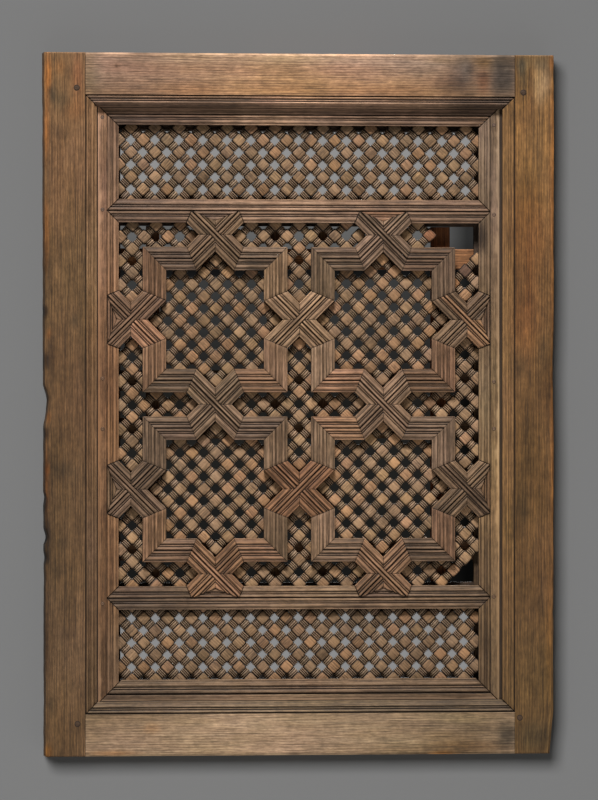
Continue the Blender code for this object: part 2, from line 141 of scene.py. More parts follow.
def clouds(tree, vector, scale, detail=2.0, roughness=0.5):
    """Soft noise: a value, and a colour of three values."""
    feeds = {"Vector": vector, "Scale": scale, "Detail": detail, "Roughness": roughness}
    return node(tree, "ShaderNodeTexNoise", feeds).outputs


def carried(tree, name, kind="FLOAT"):
    """A value that every point of the geometry carries by this name."""
    return node(tree, "GeometryNodeInputNamedAttribute", {"Name": name}, data_type=kind).outputs[0]


def carrying(tree, geometry, name, value, kind="FLOAT"):
    """The geometry, its points now carrying a value by this name."""
    feeds = {"Geometry": geometry, "Name": name, "Value": value}
    settings = {"data_type": kind, "domain": "POINT"}
    return node(tree, "GeometryNodeStoreNamedAttribute", feeds, **settings).outputs[0]


def real_wood(tree, geometry, wood):
    """The geometry as one real mesh, made of its wood."""
    real = node(tree, "GeometryNodeRealizeInstances", {"Geometry": geometry}).outputs[0]
    return node(tree, "GeometryNodeSetMaterial", {"Geometry": real, "Material": wood}).outputs[0]


def new_group(name, kind, inputs, outputs):
    """An empty node group with named sockets, its input sockets and its output sockets."""
    tree = bpy.data.node_groups.new(name, kind)
    for label, socket, value in inputs:
        made = tree.interface.new_socket(label, in_out="INPUT", socket_type="NodeSocket" + socket)
        if value is not None:
            made.default_value = value
    for label, socket in outputs:
        tree.interface.new_socket(label, in_out="OUTPUT", socket_type="NodeSocket" + socket)
    given = tree.nodes.new("NodeGroupInput").outputs
    return tree, given, tree.nodes.new("NodeGroupOutput").inputs


def new_object(name, data):
    """An object that stands in the scene."""
    made = bpy.data.objects.new(name, data)
    bpy.context.scene.collection.objects.link(made)
    return made


def set_inputs(modifier, values):
    """Sets a Geometry Nodes modifier's inputs by their identifiers."""
    for item in modifier.node_group.interface.items_tree:
        if item.item_type == "SOCKET" and item.in_out == "INPUT" and item.name in values:
            modifier[item.identifier] = values[item.name]


# %% [markdown]
# ## The wood
# Old coniferous wood goes grey-brown in the open, its soft early wood wears away and its hard late
# wood stands up as fine lines, hands and wind polish the crests, and soot and dust settle in every
# groove. Three node groups say this once: one draws the growth rings and the fibres, one settles
# the dirt in the hollows together with painted shade and lays bare wood on the crests together with
# painted highlights, and one lets patches of the surface bleach. Every timber is then a choice of
# tones.
# The pattern follows each bar, because every bar carries its own grain coordinates: along the
# fibres, across them and into the depth.


# %% Growth rings and fibres, as a group
def grain_noise(tree, grain, along, across, detail=2.0, roughness=0.5):
    """Noise stretched along the fibres: waves per metre along them and across them."""
    stretched = vector_maths(tree, "MULTIPLY", grain, (along, across, across))
    return clouds(tree, stretched, 1.0, detail, roughness)[0]


def ring_group():
    """Growth rings, streaks, fibres and fine cracks, all drawn on the grain coordinates."""
    tree, given, result = new_group(
        "rings_and_fibres",
        "ShaderNodeTree",
        [
            ("Grain", "Vector", None), ("Ring Width", "Float", 0.003),
            ("Wander", "Float", 0.010), ("Tilt", "Float", 0.6),
        ],
        [("Late Wood", "Float"), ("Streak", "Float"), ("Fibre", "Float"), ("Check", "Float")],
    )
    grain = given["Grain"]
    parts = split(tree, grain)
    across = maths(tree, "MULTIPLY_ADD", parts[2], given["Tilt"], parts[1])
    slow = grain_noise(tree, grain, 3.0, 14.0, detail=1.0)
    across = maths(tree, "MULTIPLY_ADD", slow, given["Wander"], across)
    turn = maths(tree, "FRACT", maths(tree, "DIVIDE", across, given["Ring Width"]))
    ramp = node(tree, "ShaderNodeValToRGB", (turn,))
    band = ramp.color_ramp
    for element, place in zip(band.elements, (0.0, 1.0)):
        element.position, element.color = place, (0.25, 0.25, 0.25, 1)
    for place, value in ((0.12, 0.0), (0.5, 0.08), (0.84, 1.0)):
        band.elements.new(place).color = (value, value, value, 1)
    strong = ranged(tree, grain_noise(tree, grain, 6.0, 60.0), 0.36, 0.60, 0.25, 1.0)
    tree.links.new(maths(tree, "MULTIPLY", ramp.outputs[0], strong), result["Late Wood"])
    tree.links.new(grain_noise(tree, grain, 8.0, 290.0, 4.0, 0.62), result["Streak"])
    tree.links.new(grain_noise(tree, grain, 42.0, 620.0, 3.0, 0.65), result["Fibre"])
    crack = ranged(tree, grain_noise(tree, grain, 14.0, 620.0, 2.0), 0.60, 0.70, 0.0, 1.0)
    tree.links.new(crack, result["Check"])
    return tree


# %% Dirt and painted shade in the hollows, bare wood and painted highlights on the crests, as a group
def dirt_shade_wear_and_highlight_group():
    """Where dirt lies together with painted shade, and where the wood is rubbed bare together with
    a painted highlight, from how hollow the surface is.
    """
    tree, given, result = new_group(
        "dirt_and_wear",
        "ShaderNodeTree",
        [
            ("Hollow", "Float", 0.0), ("Vector", "Vector", None),
            ("Dirt", "Float", 0.9), ("Wear", "Float", 0.6),
        ],
        [("Dirt Mask", "Float"), ("Bare Mask", "Float")],
    )
    uneven = clouds(tree, given["Vector"], 110.0, 4.0)[0]
    reach = maths(tree, "MULTIPLY_ADD", uneven, 0.6, maths(tree, "SUBTRACT", given["Hollow"], 0.3))
    dirt = ranged(tree, reach, 0.12, 0.75, 0.0, 1.0, interpolation_type="SMOOTHSTEP")
    tree.links.new(maths(tree, "MULTIPLY", dirt, given["Dirt"], clamp=True), result["Dirt Mask"])
    rubbed = clouds(tree, given["Vector"], 34.0, 4.0)[0]
    crest = maths(tree, "SUBTRACT", maths(tree, "MULTIPLY", rubbed, 1.6), given["Hollow"])
    bare = ranged(tree, crest, 0.95, 1.6, 0.0, 1.0, interpolation_type="SMOOTHSTEP")
    tree.links.new(maths(tree, "MULTIPLY", bare, given["Wear"], clamp=True), result["Bare Mask"])
    return tree


# %% Bleached and darkened patches, as a group
def weather_group():
    """Soft patches, and a tint for each."""
    tree, given, result = new_group(
        "weathered_patches",
        "ShaderNodeTree",
        [("Vector", "Vector", None), ("Scale", "Float", 9.0), ("Contrast", "Float", 2.5)],
        [("Mask", "Float"), ("Tint", "Color")],
    )
    patch = clouds(tree, given["Vector"], given["Scale"], 4.0, 0.6)
    tint = vector_maths(tree, "MULTIPLY_ADD", patch[1], (0.32, 0.17, 0.40), (0.84, 0.915, 0.80))
    tree.links.new(tint, result["Tint"])
    spread = maths(tree, "MULTIPLY", maths(tree, "SUBTRACT", patch[0], 0.5), given["Contrast"])
    tree.links.new(maths(tree, "ADD", spread, 0.5, clamp=True), result["Mask"])
    return tree


# The second group settles dirt with painted shade and lays bare wood with painted highlights.
RINGS, WEAR, WEATHER = ring_group(), dirt_shade_wear_and_highlight_group(), weather_group()
print("shader groups:", [g.name for g in (RINGS, WEAR, WEATHER)])


# %% A timber from its tones
def mix(tree, factor, first, second, blend="MIX"):
    """Two colours mixed, or one multiplied by the other."""
    feeds = {0: factor}
    for socket, value in ((6, first), (7, second)):
        feeds[socket] = (*value, 1.0) if isinstance(value, tuple) else value
    return node(tree, "ShaderNodeMix", feeds, data_type="RGBA", blend_type=blend).outputs[2]


def placed_group(tree, group, **feeds):
    """A group node with its inputs fed, named with spaces where the keywords have underscores."""
    feeds = {name.replace("_", " ").title(): value for name, value in feeds.items()}
    return node(tree, "ShaderNodeGroup", feeds, node_tree=group).outputs


# The last of these tones darkens the hollows, for dirt and for painted shade.
LATE_TINT, CRACK_TONE, DIRT_AND_SHADE_TONE = (0.26, 0.18, 0.13), (0.035, 0.022, 0.014), (0.022, 0.013, 0.008)


def timber(
    name, deep, middle, pale, grey, rings=0.5, ring_width=0.003, dirt=0.9, wear=0.5,
    speckle=0.22, streaks=0.38,
):
    """An old timber: three tones of the wood, the grey it weathers to, and how strongly it shows."""
    made = bpy.data.materials.new(name)
    made.use_nodes = True
    tree = made.node_tree
    shader = tree.nodes["Principled BSDF"]
    grain = node(tree, "ShaderNodeAttribute", attribute_name="grain").outputs["Vector"]
    hollow = node(tree, "ShaderNodeAttribute", attribute_name="hollow").outputs["Fac"]
    hue = node(tree, "ShaderNodeAttribute", attribute_name="hue").outputs["Color"]
    place = node(tree, "ShaderNodeTexCoord").outputs["Object"]
    lines = placed_group(tree, RINGS, grain=grain, ring_width=ring_width)
    along = vector_maths(tree, "MULTIPLY", grain, (0.35, 1.0, 1.0))
    zones = placed_group(tree, WEATHER, vector=along, scale=14.0, contrast=3.0)
    blotches = placed_group(tree, WEATHER, vector=place, scale=70.0, contrast=2.2)
    specks = placed_group(tree, WEATHER, vector=along, scale=380.0, contrast=2.6)
    marks = placed_group(tree, WEAR, hollow=hollow, vector=place, dirt=dirt, wear=wear)
    tone = maths(tree, "MULTIPLY_ADD", zones["Mask"], 0.14, 0.43 - 0.5 * streaks)
    tone = maths(tree, "MULTIPLY_ADD", lines["Streak"], streaks, tone)
    ramp = node(tree, "ShaderNodeValToRGB", (tone,))
    tones = ramp.color_ramp
    tones.elements[0].position, tones.elements[0].color = 0.39, (*deep, 1)
    tones.elements[1].position, tones.elements[1].color = 0.62, (*pale, 1)
    tones.elements.new(0.5).color = (*middle, 1)
    colour = mix(tree, maths(tree, "MULTIPLY", zones["Mask"], 0.55), ramp.outputs[0], grey)
    colour = mix(tree, 1.0, colour, zones["Tint"], "MULTIPLY")
    late = mix(tree, maths(tree, "MULTIPLY", lines["Late Wood"], rings), (1, 1, 1), LATE_TINT)
    colour = mix(tree, 1.0, colour, late, "MULTIPLY")
    shade = ranged(tree, lines["Fibre"], 0.25, 0.75, 0.55, 1.45)
    blotch = ranged(tree, blotches["Mask"], 0.0, 1.0, 0.80, 1.18)
    speck = ranged(tree, specks["Mask"], 0.0, 1.0, 1 - speckle, 1 + speckle)
    shade = maths(tree, "MULTIPLY", maths(tree, "MULTIPLY", shade, blotch), speck)
    shade = node(tree, "ShaderNodeCombineColor", (shade,) * 3).outputs[0]
    colour = mix(tree, 1.0, colour, shade, "MULTIPLY")
    # The bare mask lightens the crests for wear and for a painted highlight; the dirt mask below darkens
    # the hollows for dirt and for painted shade.
    colour = mix(tree, marks["Bare Mask"], colour, tuple(min(1.0, c * 1.35) for c in pale))
    colour = mix(tree, 1.0, colour, hue, "MULTIPLY")
    colour = mix(tree, maths(tree, "MULTIPLY", lines["Check"], 0.5), colour, CRACK_TONE)
    colour = mix(tree, marks["Dirt Mask"], colour, DIRT_AND_SHADE_TONE)
    tree.links.new(colour, shader.inputs["Base Color"])
    tree.links.new(ranged(tree, lines["Fibre"], 0.3, 0.7, 0.62, 0.86), shader.inputs["Roughness"])
    shader.inputs["Specular IOR Level"].default_value = 0.3
    height = maths(tree, "MULTIPLY_ADD", lines["Late Wood"], 0.7, lines["Fibre"])
    height = maths(tree, "MULTIPLY_ADD", lines["Check"], -1.2, height)
    bump = node(tree, "ShaderNodeBump", {"Strength": 0.5, "Distance": 0.0005, "Height": height})
    tree.links.new(bump.outputs[0], shader.inputs["Normal"])
    return made


# %% The timbers of this screen
# The rails' timber is paler than the stiles': partly its own wood, partly painted light, because level
# rails catch more of the light from above than upright stiles.
PALE_RAIL = ((0.165, 0.090, 0.050), (0.31, 0.174, 0.096), (0.44, 0.27, 0.165), (0.32, 0.205, 0.135))
OLIVE = ((0.070, 0.037, 0.015), (0.135, 0.070, 0.028), (0.205, 0.117, 0.053), (0.135, 0.083, 0.041))
GOLDEN = ((0.080, 0.038, 0.012), (0.150, 0.070, 0.021), (0.230, 0.116, 0.038), (0.135, 0.077, 0.032))
REDDISH = ((0.10, 0.050, 0.026), (0.215, 0.117, 0.066), (0.33, 0.20, 0.125), (0.20, 0.135, 0.09))
STRAP = ((0.068, 0.036, 0.018), (0.153, 0.087, 0.048), (0.29, 0.176, 0.106), (0.18, 0.118, 0.073))
BLOCK = ((0.125, 0.072, 0.037), (0.215, 0.127, 0.068), (0.31, 0.192, 0.108), (0.20, 0.139, 0.088))
ROUGH = ((0.07, 0.036, 0.018), (0.13, 0.068, 0.034), (0.22, 0.122, 0.064), (0.12, 0.078, 0.046))
# dirt says how dark the hollows go, for dirt and for painted shade; wear how far the crests go bare, for
# wear and for painted highlights.
woods = {
    "rail": timber("pale_rail_wood", *PALE_RAIL, rings=0.5, ring_width=0.0038, wear=0.6),
    "left_stile": timber("olive_stile_wood", *OLIVE, rings=0.5, ring_width=0.0036, wear=0.5),
    "right_stile": timber("golden_stile_wood", *GOLDEN, rings=0.45, ring_width=0.0040, wear=0.6),
    "inner": timber("inner_frame_wood", *REDDISH, rings=0.45, ring_width=0.0031, dirt=0.9, wear=0.7),
    "strap": timber(
        "reeded_strap_wood", *STRAP, rings=0.55, ring_width=0.0030, dirt=0.95, wear=0.7, streaks=0.46
    ),
    "lattice": timber(
        "turned_lattice_wood", *BLOCK, rings=0.55, ring_width=0.0034, dirt=0.97, wear=0.5, speckle=0.3
    ),
    "batten": timber("rough_batten_wood", *ROUGH, rings=0.5, ring_width=0.0035, wear=0.4),
    "peg": timber("peg_wood", *ROUGH, rings=0.3, ring_width=0.0015, wear=0.2),
}
print("timbers:", sorted(woods))

# %% [markdown]
# ## Mouldings, run by run
# On the bench a moulding is one profile planed along a stick, and the stick is then sawn to its
# mitres. Here a Geometry Nodes tree does both. It sweeps a closed profile along a straight line and
# then slides every row so that both ends lie in their mitres: an end is its place on the middle
# line plus a slope for what lies left of that line and one for what lies right. The tree also lets
# the lines wander a little, as a hand plane does, and rounds the last fraction of a millimetre.
# Every run takes its grain from another place of a thick log, LOG metres each way.


# %% The tree of a moulded run
RUN_FLOATS = {
    "Length": 0.1, "Start": 0.0, "Start Left": 0.0, "Start Right": 0.0, "Start Least": -1.0,
    "End Left": 0.0, "End Right": 0.0, "End Most": 9.0, "Worn End": 0.0008, "Worn Depth": 0.0006,
    "End Dirt": 0.8, "Wander": 0.00015, "Wander Length": 0.03,
}


def run_group():
    """A profile swept along a stick, its ends slid into their mitres, its lines a little loose."""
    tree, given, result = new_group(
        "moulded_run",
        "GeometryNodeTree",
        [
            ("Profile", "Object", None), ("Rows", "Int", 20), ("Shift", "Vector", None),
            *[(name, "Float", value) for name, value in RUN_FLOATS.items()],
            ("Wood", "Material", None),
        ],
        [("Run", "Geometry")],
    )
    line = node(tree, "GeometryNodeCurvePrimitiveLine", {"Start": (0, 0, 0), "End": (1, 0, 0)})
    rows = {"Curve": line.outputs[0], "Count": given["Rows"]}
    rows = node(tree, "GeometryNodeResampleCurve", rows)
    shape = node(tree, "GeometryNodeObjectInfo", {"Object": given["Profile"]})
    ring = node(tree, "GeometryNodeMeshToCurve", {"Mesh": shape.outputs["Geometry"]})
    swept = node(
        tree,
        "GeometryNodeCurveToMesh",
        {"Curve": rows.outputs[0], "Profile Curve": ring.outputs[0], "Fill Caps": True},
    ).outputs[0]
    share, depth, height = split(tree, node(tree, "GeometryNodeInputPosition").outputs[0])
    off = maths(tree, "MULTIPLY", height, -1.0)
    right = maths(tree, "GREATER_THAN", off, 0.0)
    away = maths(tree, "ABSOLUTE", off)

    def slope(left_name, right_name):
        """The slope of an end on this side of the groove."""
        spread = maths(tree, "SUBTRACT", given[right_name], given[left_name])
        return maths(tree, "MULTIPLY_ADD", right, spread, given[left_name])

    first = maths(tree, "MULTIPLY_ADD", away, slope("Start Left", "Start Right"), given["Start"])
    first = maths(tree, "MAXIMUM", first, given["Start Least"])
    last = maths(tree, "MULTIPLY_ADD", away, slope("End Left", "End Right"), given["Length"])
    last = maths(tree, "MINIMUM", last, given["End Most"])
    length = maths(tree, "MAXIMUM", maths(tree, "SUBTRACT", last, first), 0.0)
    step = maths(tree, "DIVIDE", 1.0, maths(tree, "SUBTRACT", given["Rows"], 1.0))
    worn = maths(tree, "DIVIDE", given["Worn End"], maths(tree, "MAXIMUM", length, 0.00001))
    worn = maths(tree, "MINIMUM", worn, 0.25)
    between = maths(tree, "DIVIDE", maths(tree, "SUBTRACT", share, step),
                    maths(tree, "SUBTRACT", 1.0, maths(tree, "MULTIPLY", step, 2.0)))
    between = maths(tree, "MULTIPLY_ADD", between,
                    maths(tree, "SUBTRACT", 1.0, maths(tree, "MULTIPLY", worn, 2.0)), worn)
    near = maths(tree, "MULTIPLY", step, 0.5)
    tip = maths(tree, "ADD", maths(tree, "LESS_THAN", share, near),
                maths(tree, "GREATER_THAN", share, maths(tree, "SUBTRACT", 1.0, near)))
    moved = maths(tree, "MULTIPLY_ADD", tip, maths(tree, "SUBTRACT", share, between), between)
    along = maths(tree, "MULTIPLY_ADD", moved, length, first)
    waves = maths(tree, "DIVIDE", along, given["Wander Length"])
    where = vector_of(tree, waves, maths(tree, "MULTIPLY", off, 70.0), 0.0)
    where = vector_maths(tree, "ADD", where, vector_maths(tree, "SCALE", given["Shift"], None, None, 9.0))
    noise = split(tree, vector_maths(tree, "SUBTRACT", clouds(tree, where, 1.0)[1], (0.5, 0.5, 0.5)))
    reach = maths(tree, "MULTIPLY", given["Wander"], 2.0)
    reach = maths(tree, "MULTIPLY", reach, carried(tree, "loose"))
    sunk = maths(tree, "MULTIPLY", tip, given["Worn Depth"])
    sunk = maths(tree, "MULTIPLY", sunk, carried(tree, "front"))
    deep = maths(tree, "MULTIPLY_ADD", noise[0], reach, maths(tree, "ADD", depth, sunk))
    wide = maths(tree, "MULTIPLY_ADD", noise[1], reach, height)
    end_dirt = maths(tree, "MULTIPLY_ADD", tip, maths(tree, "ADD", given["End Dirt"], 1.0), -1.0)
    dirt = maths(tree, "MAXIMUM", carried(tree, "hollow"), end_dirt)
    grimy = carrying(tree, swept, "hollow", dirt)
    place = {"Geometry": grimy, "Position": vector_of(tree, along, deep, wide)}
    placed = node(tree, "GeometryNodeSetPosition", place).outputs[0]
    here = split(tree, node(tree, "GeometryNodeInputPosition").outputs[0])
    fibres = vector_of(tree, here[0], maths(tree, "MULTIPLY", here[2], -1.0), here[1])
    fibres = vector_maths(tree, "ADD", fibres, given["Shift"])
    grained = carrying(tree, placed, "grain", fibres, "FLOAT_VECTOR")
    welded = node(tree, "GeometryNodeMergeByDistance", {"Geometry": grained, "Distance": 0.000005})
    tree.links.new(real_wood(tree, welded.outputs[0], given["Wood"]), result["Run"])
    return tree


RUN = run_group()
bench = new_object("bench", bpy.data.meshes.new("bench"))
bench.modifiers.new("moulded_run", "NODES").node_group = RUN
workshop = [bench]
chance = np.random.default_rng(1431)
LOG = 5.0
print("inputs:", [i.name for i in RUN.interface.items_tree if i.in_out == "INPUT"])

# %% [markdown]
# ## Profiles
# A profile is a closed outline in two numbers: how far a point lies from the middle groove, and how
# deep it lies. Each point also says how dark it goes, for dirt and for painted shade, from 0 on a
# crest to 1 in a groove, with a minus for bare wood and a painted highlight, whether it belongs to
# the face, and how loosely the plane followed it.

# %% The reeds of the straps: millimetres from the groove, millimetres under the crown, and dirt that is partly painted shade (a minus for bare wood with a painted highlight)
REEDS = (
    (0.0, 2.9, 1.0), (0.5, 2.4, 1.0), (0.9, 0.9, 0.4), (1.6, 0.15, -0.2), (2.8, 0.0, -0.6),
    (3.9, 0.3, 0.0), (4.7, 1.1, 0.4), (5.3, 1.9, 0.9), (5.9, 1.2, 0.3), (6.6, 0.85, -0.3),
    (7.3, 1.3, 0.3), (8.0, 2.1, 0.9), (8.6, 1.2, 0.3), (9.5, 0.5, -0.2), (10.9, 0.35, -0.6),
    (12.3, 0.7, -0.3), (13.7, 1.3, 0.0), (14.7, 1.9, 0.25), (15.3, 1.7, -0.1), (16.1, 1.8, -0.6),
    (16.7, 2.7, 0.1),
)
OUTER_REEDS = (
    (0.0, 0.1, 0.1), (0.4, 1.2, 0.9), (1.0, 2.3, 1.0), (1.7, 2.1, 1.0), (2.3, 0.8, 0.3),
    (3.1, 0.1, -0.5), (4.3, 0.4, 0.0), (5.3, 1.3, 0.5), (6.1, 2.0, 1.0), (6.8, 1.2, 0.4),
    (7.5, 0.9, -0.3), (8.3, 1.4, 0.6), (9.0, 2.1, 1.0), (9.7, 1.0, 0.3), (10.8, 0.3, -0.6),
    (11.9, 0.6, -0.1), (13.0, 1.8, 0.2), (14.4, 3.6, 0.3), (15.6, 4.6, 0.4), (16.4, 4.9, 0.1),
    (17.2, 4.7, -0.8), (17.9, 5.3, 0.2),
)
KERF = 0.0053
MM = 0.001


def reeds(front, low=0.0, high=1.0, table=REEDS, cut=1.0, grime=1.0, polish=1.0, wide=1.0, seam=0.0):
    """The face between two distances from the groove: points of (distance, y, dirt, face, loose),
    where the dirt is partly painted shade. cut says how deeply the reeds are cut, grime how dark the
    grooves are, with dirt and painted shade, polish how far the crests are rubbed bare and given a
    painted highlight, and wide how broadly they were planed. Within seam millimetres of the groove
    the cut and the grime stay full."""
    far = np.array([row[0] * MM * wide for row in table])
    drop = np.array([row[1] * MM * (1.0 if row[0] < seam else cut) for row in table])
    dirt = np.array([
        row[2] * (1.0 if row[0] < seam else grime if row[2] > 0 else polish) for row in table
    ])
    high = min(high, far[-1])
    places = [low, *[d for d in far if low < d < high], high]
    return [
        (d, front + float(np.interp(d, far, drop)), float(np.interp(d, far, dirt)), 1.0, 1.0)
        for d in places
    ]


def mirrored(points):
    """The same points on the left of the groove, in order from left to right."""
    return [(-p[0], *p[1:]) for p in reversed(points)]


def hidden(*points, dirt=0.6):
    """Corners on the sides and the back, as (distance, y)."""
    return [(d, y, dirt, 0.0, 0.3) for d, y in points]


FIELDS = {"FLOAT": "value", "INT": "value", "FLOAT_VECTOR": "vector", "FLOAT_COLOR": "color"}


def store(mesh, label, kind, values):
    """Lets the points of a mesh carry values by a name."""
    layer = mesh.attributes.new(label, kind, "POINT")
    layer.data.foreach_set(FIELDS[kind], np.ravel(values))


def profile(name, points):
    """A closed outline as a workshop object that the run tree can sweep."""
    flat = np.array([(-p[1], p[0]) for p in points])
    ahead = np.roll(flat, -1, axis=0)
    if np.sum(flat[:, 0] * ahead[:, 1] - ahead[:, 0] * flat[:, 1]) < 0:
        points = points[::-1]
    count = len(points)
    mesh = bpy.data.meshes.new(name)
    mesh.from_pydata(
        [(-p[1], p[0], 0.0) for p in points], [(i, (i + 1) % count) for i in range(count)], []
    )
    for column, label in ((2, "hollow"), (3, "front"), (4, "loose")):
        store(mesh, label, "FLOAT", [p[column] for p in points])
    made = new_object(name, mesh)
    workshop.append(made)
    return made


# %% [markdown]
# ## From the bench to the piece
# A run leaves the bench lying along its own axis. It is turned to its direction and moved to its
# place, and all the runs of one piece become one mesh. Each run gets a hue of its own, because the
# sticks of a screen come from different boards and have been mended at different times.


# %% One run, and a piece made of runs
def planed(shape, start, end, mitre=(0, 0, 0, 0), pitch=0.005, shift=None, **inputs):
    """A run of a profile from start to end, both (x, z), with its slopes: start left and right,
    end left and right. Returns its mesh and the matrix that lays it in the screen."""
    start, end = Vector(start), Vector(end)
    along = (end - start).normalized()
    length = (end - start).length
    values = RUN_FLOATS | {
        "Profile": shape,
        "Length": length,
        "Rows": max(5, int(length / pitch) + 3),
        "Start": inputs.pop("early", 0.0),
        "Shift": tuple(chance.uniform(0.0, LOG, 3)) if shift is None else shift,
    }
    values |= zip(("Start Left", "Start Right", "End Left", "End Right"), map(float, mitre))
    for name, value in inputs.items():
        values[name.replace("_", " ").title()] = value
    set_inputs(bench.modifiers[0], values)
    bench.update_tag()
    graph = bpy.context.evaluated_depsgraph_get()
    mesh = bpy.data.meshes.new_from_object(bench.evaluated_get(graph))
    x_axis, y_axis = Vector((along.x, 0.0, along.y)), Vector((0.0, 1.0, 0.0))
    turn = Matrix((x_axis, y_axis, x_axis.cross(y_axis))).transposed().to_4x4()
    return mesh, Matrix.Translation((start.x, 0.0, start.y)) @ turn


def pulled(data, field, wide=1, kind=np.float64):
    """A field of a mesh's data as an array with the given number of columns."""
    values = np.zeros(len(data) * wide, dtype=kind)
    data.foreach_get(field, values)
    return values.reshape(-1, wide) if wide > 1 else values


def arrays(mesh, place):
    """A mesh as plain arrays, its points laid in the screen."""
    turn = np.array(place)
    points = pulled(mesh.vertices, "co", 3) @ turn[:3, :3].T + turn[:3, 3]
    corners = pulled(mesh.loops, "vertex_index", kind=np.int64)
    sizes = pulled(mesh.polygons, "loop_total", kind=np.int64)
    grain = pulled(mesh.attributes["grain"].data, "vector", 3)
    return points, corners, sizes, grain, pulled(mesh.attributes["hollow"].data, "value")


SHARP_ANGLE = math.radians(38)


class Piece:
    """The runs of one piece, gathered until it is finished."""

    def __init__(self):
        """Starts with no runs."""
        self.parts = []

    def add(self, run, hue=(1.0, 1.0, 1.0), shape=None, tones=None):
        """Adds a run. tones are (place, level) pairs, in mm along it, for how its wood fades, and on the
        rails also for painted light: brighter near the middle, painted shade towards the ends.
        """
        mesh, place = run
        points, corners, sizes, grain, hollow = arrays(mesh, place)
        bpy.data.meshes.remove(mesh)
        if shape is not None:
            points = shape(points)
        hues = np.tile(np.array([*hue, 1.0]), (len(points), 1))
        if tones is not None:
            axis = 0 if np.ptp(points[:, 0]) > np.ptp(points[:, 2]) else 2
            hues[:, :3] *= np.interp(points[:, axis] / MM, *zip(*tones))[:, None]
        self.parts.append((points, corners, sizes, grain, hollow, hues))

    def finish(self, name, wood, slot, *nodes, touch=None):
        """Makes one mesh of the runs, in its place, and says which solids it replaces."""
        columns = [list(column) for column in zip(*self.parts)]
        starts = np.cumsum([0] + [len(points) for points in columns[0]])
        columns[1] = [corners + first for corners, first in zip(columns[1], starts)]
        points, corners, sizes, grain, hollow, hues = (np.concatenate(c) for c in columns)
        if touch is not None:
            touch(points, hues, hollow)
        points[:, 2] += MIDDLE
        points = np.clip(points, cad_box[0], cad_box[1])
        mesh = bpy.data.meshes.new(name)
        mesh.vertices.add(len(points))
        mesh.loops.add(len(corners))
        mesh.polygons.add(len(sizes))
        mesh.vertices.foreach_set("co", points.ravel())
        mesh.loops.foreach_set("vertex_index", corners)
        mesh.polygons.foreach_set("loop_start", np.concatenate(([0], np.cumsum(sizes)[:-1])))
        mesh.update(calc_edges=True)
        mesh.validate()
        store(mesh, "grain", "FLOAT_VECTOR", grain)
        store(mesh, "hollow", "FLOAT", hollow)
        store(mesh, "hue", "FLOAT_COLOR", hues)
        mesh.shade_smooth()
        mesh.set_sharp_from_angle(angle=SHARP_ANGLE)
        mesh.materials.append(wood)
        made = new_object(name, mesh)
        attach(made, "root")
        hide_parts(*nodes)


def source(name, points, faces, hollow):
    """A small shape for the tree to repeat, with its own grain and dirt."""
    mesh = bpy.data.meshes.new(name)
    mesh.from_pydata(points, [], faces)
    grain = np.array(points) @ np.array(((1, 0, 0), (0, 0, 1), (0, 1, 0)))
    store(mesh, "grain", "FLOAT_VECTOR", grain)
    store(mesh, "hollow", "FLOAT", hollow)
    mesh.update()
    made = new_object(name, mesh)
    workshop.append(made)
    return made


def ring_faces(count, sides):
    """The faces that close a stack of rings: its two ends, then its sides."""
    last = count * sides
    faces = [tuple(range(sides)), tuple(range(last - 1, last - sides - 1, -1))]
    for ring in range(count - 1):
        for k in range(sides):
            a, b = ring * sides + k, ring * sides + (k + 1) % sides
            faces.append((a, a + sides, b + sides, b))
    return faces


def peg_mesh(radius, front, back, seed):
    """A peg or a nail, not quite round: rings of scale, y and dirt, with a dark joint round it."""
    sides = 14
    uneven = np.random.default_rng(seed).uniform(0.92, 1.0, sides)
    rim = front + 0.00025
    points, hollow = [], []
    rings = ((0.5, front, 0.3), (0.7, front, 0.1), (0.82, rim, 1.0), (1.0, rim, 1.0), (1.0, back, 1.0))
    for scale, y, dirt in rings:
        for k in range(sides):
            angle = 2 * math.pi * k / sides
            reach = scale * radius * uneven[k]
            points.append((reach * math.cos(angle), y, reach * math.sin(angle)))
            hollow.append(dirt)
    return source("peg_shape", points, ring_faces(len(rings), sides), hollow).data.copy()


SHADES = (
    (1.0, 1.0, 1.0), (1.14, 1.02, 0.92), (0.86, 0.88, 0.92), (1.1, 0.96, 0.9), (0.82, 0.84, 0.84),
    (1.0, 1.0, 0.94), (0.95, 0.9, 0.88),
)


def own_hue(spread=0.08):
    """The hue of one stick: one of a few shades, a little lighter or darker."""
    shade = SHADES[chance.integers(len(SHADES))]
    level = 1 + chance.uniform(-spread, spread)
    return tuple(c * level for c in shade)


# %% Stains and bleached places: x, z, half width and half height in mm, and a tint
GRIME_LEVEL = 0.88


def blot(points, hues, x, z, wide, high, colour):
    """Tints the wood around a place, fading out over the given half width and half height, in mm."""
    far = ((points[:, 0] / MM - x) / wide) ** 2 + ((points[:, 2] / MM - z) / high) ** 2
    fade = np.exp(-(far**1.5))
    hues[:, :3] *= 1 + (np.array(colour) - 1) * fade[:, None]
    return fade


def stained(*stains):
    """A touch that lays stains on a piece. A dark one is a place where grime holds, too."""

    def touch(points, hues, hollow):
        """Lays the stains, one after another."""
        for stain in stains:
            fade = blot(points, hues, *stain)
            hollow += fade * max(0.0, GRIME_LEVEL - sum(stain[4]) / 3)

    return touch


# %% [markdown]
# ## The straps
# The stars are drawn by reeded straps. A corner of a star is two bars, mitred to each other and cut
# at 22.5 degrees where the crossing's arms leave. A crossing is four arms. The two middle reeds of
# one diagonal run straight through it, the other diagonal's butt against them, and the outer reeds
# are mitred. So every arm is sawn into a left band, a middle band and a right band.

# %% Profiles of the straps
RISE = math.tan(math.radians(22.5))
DEEPEST = STAR_POINT * (math.sqrt(2) - 1)


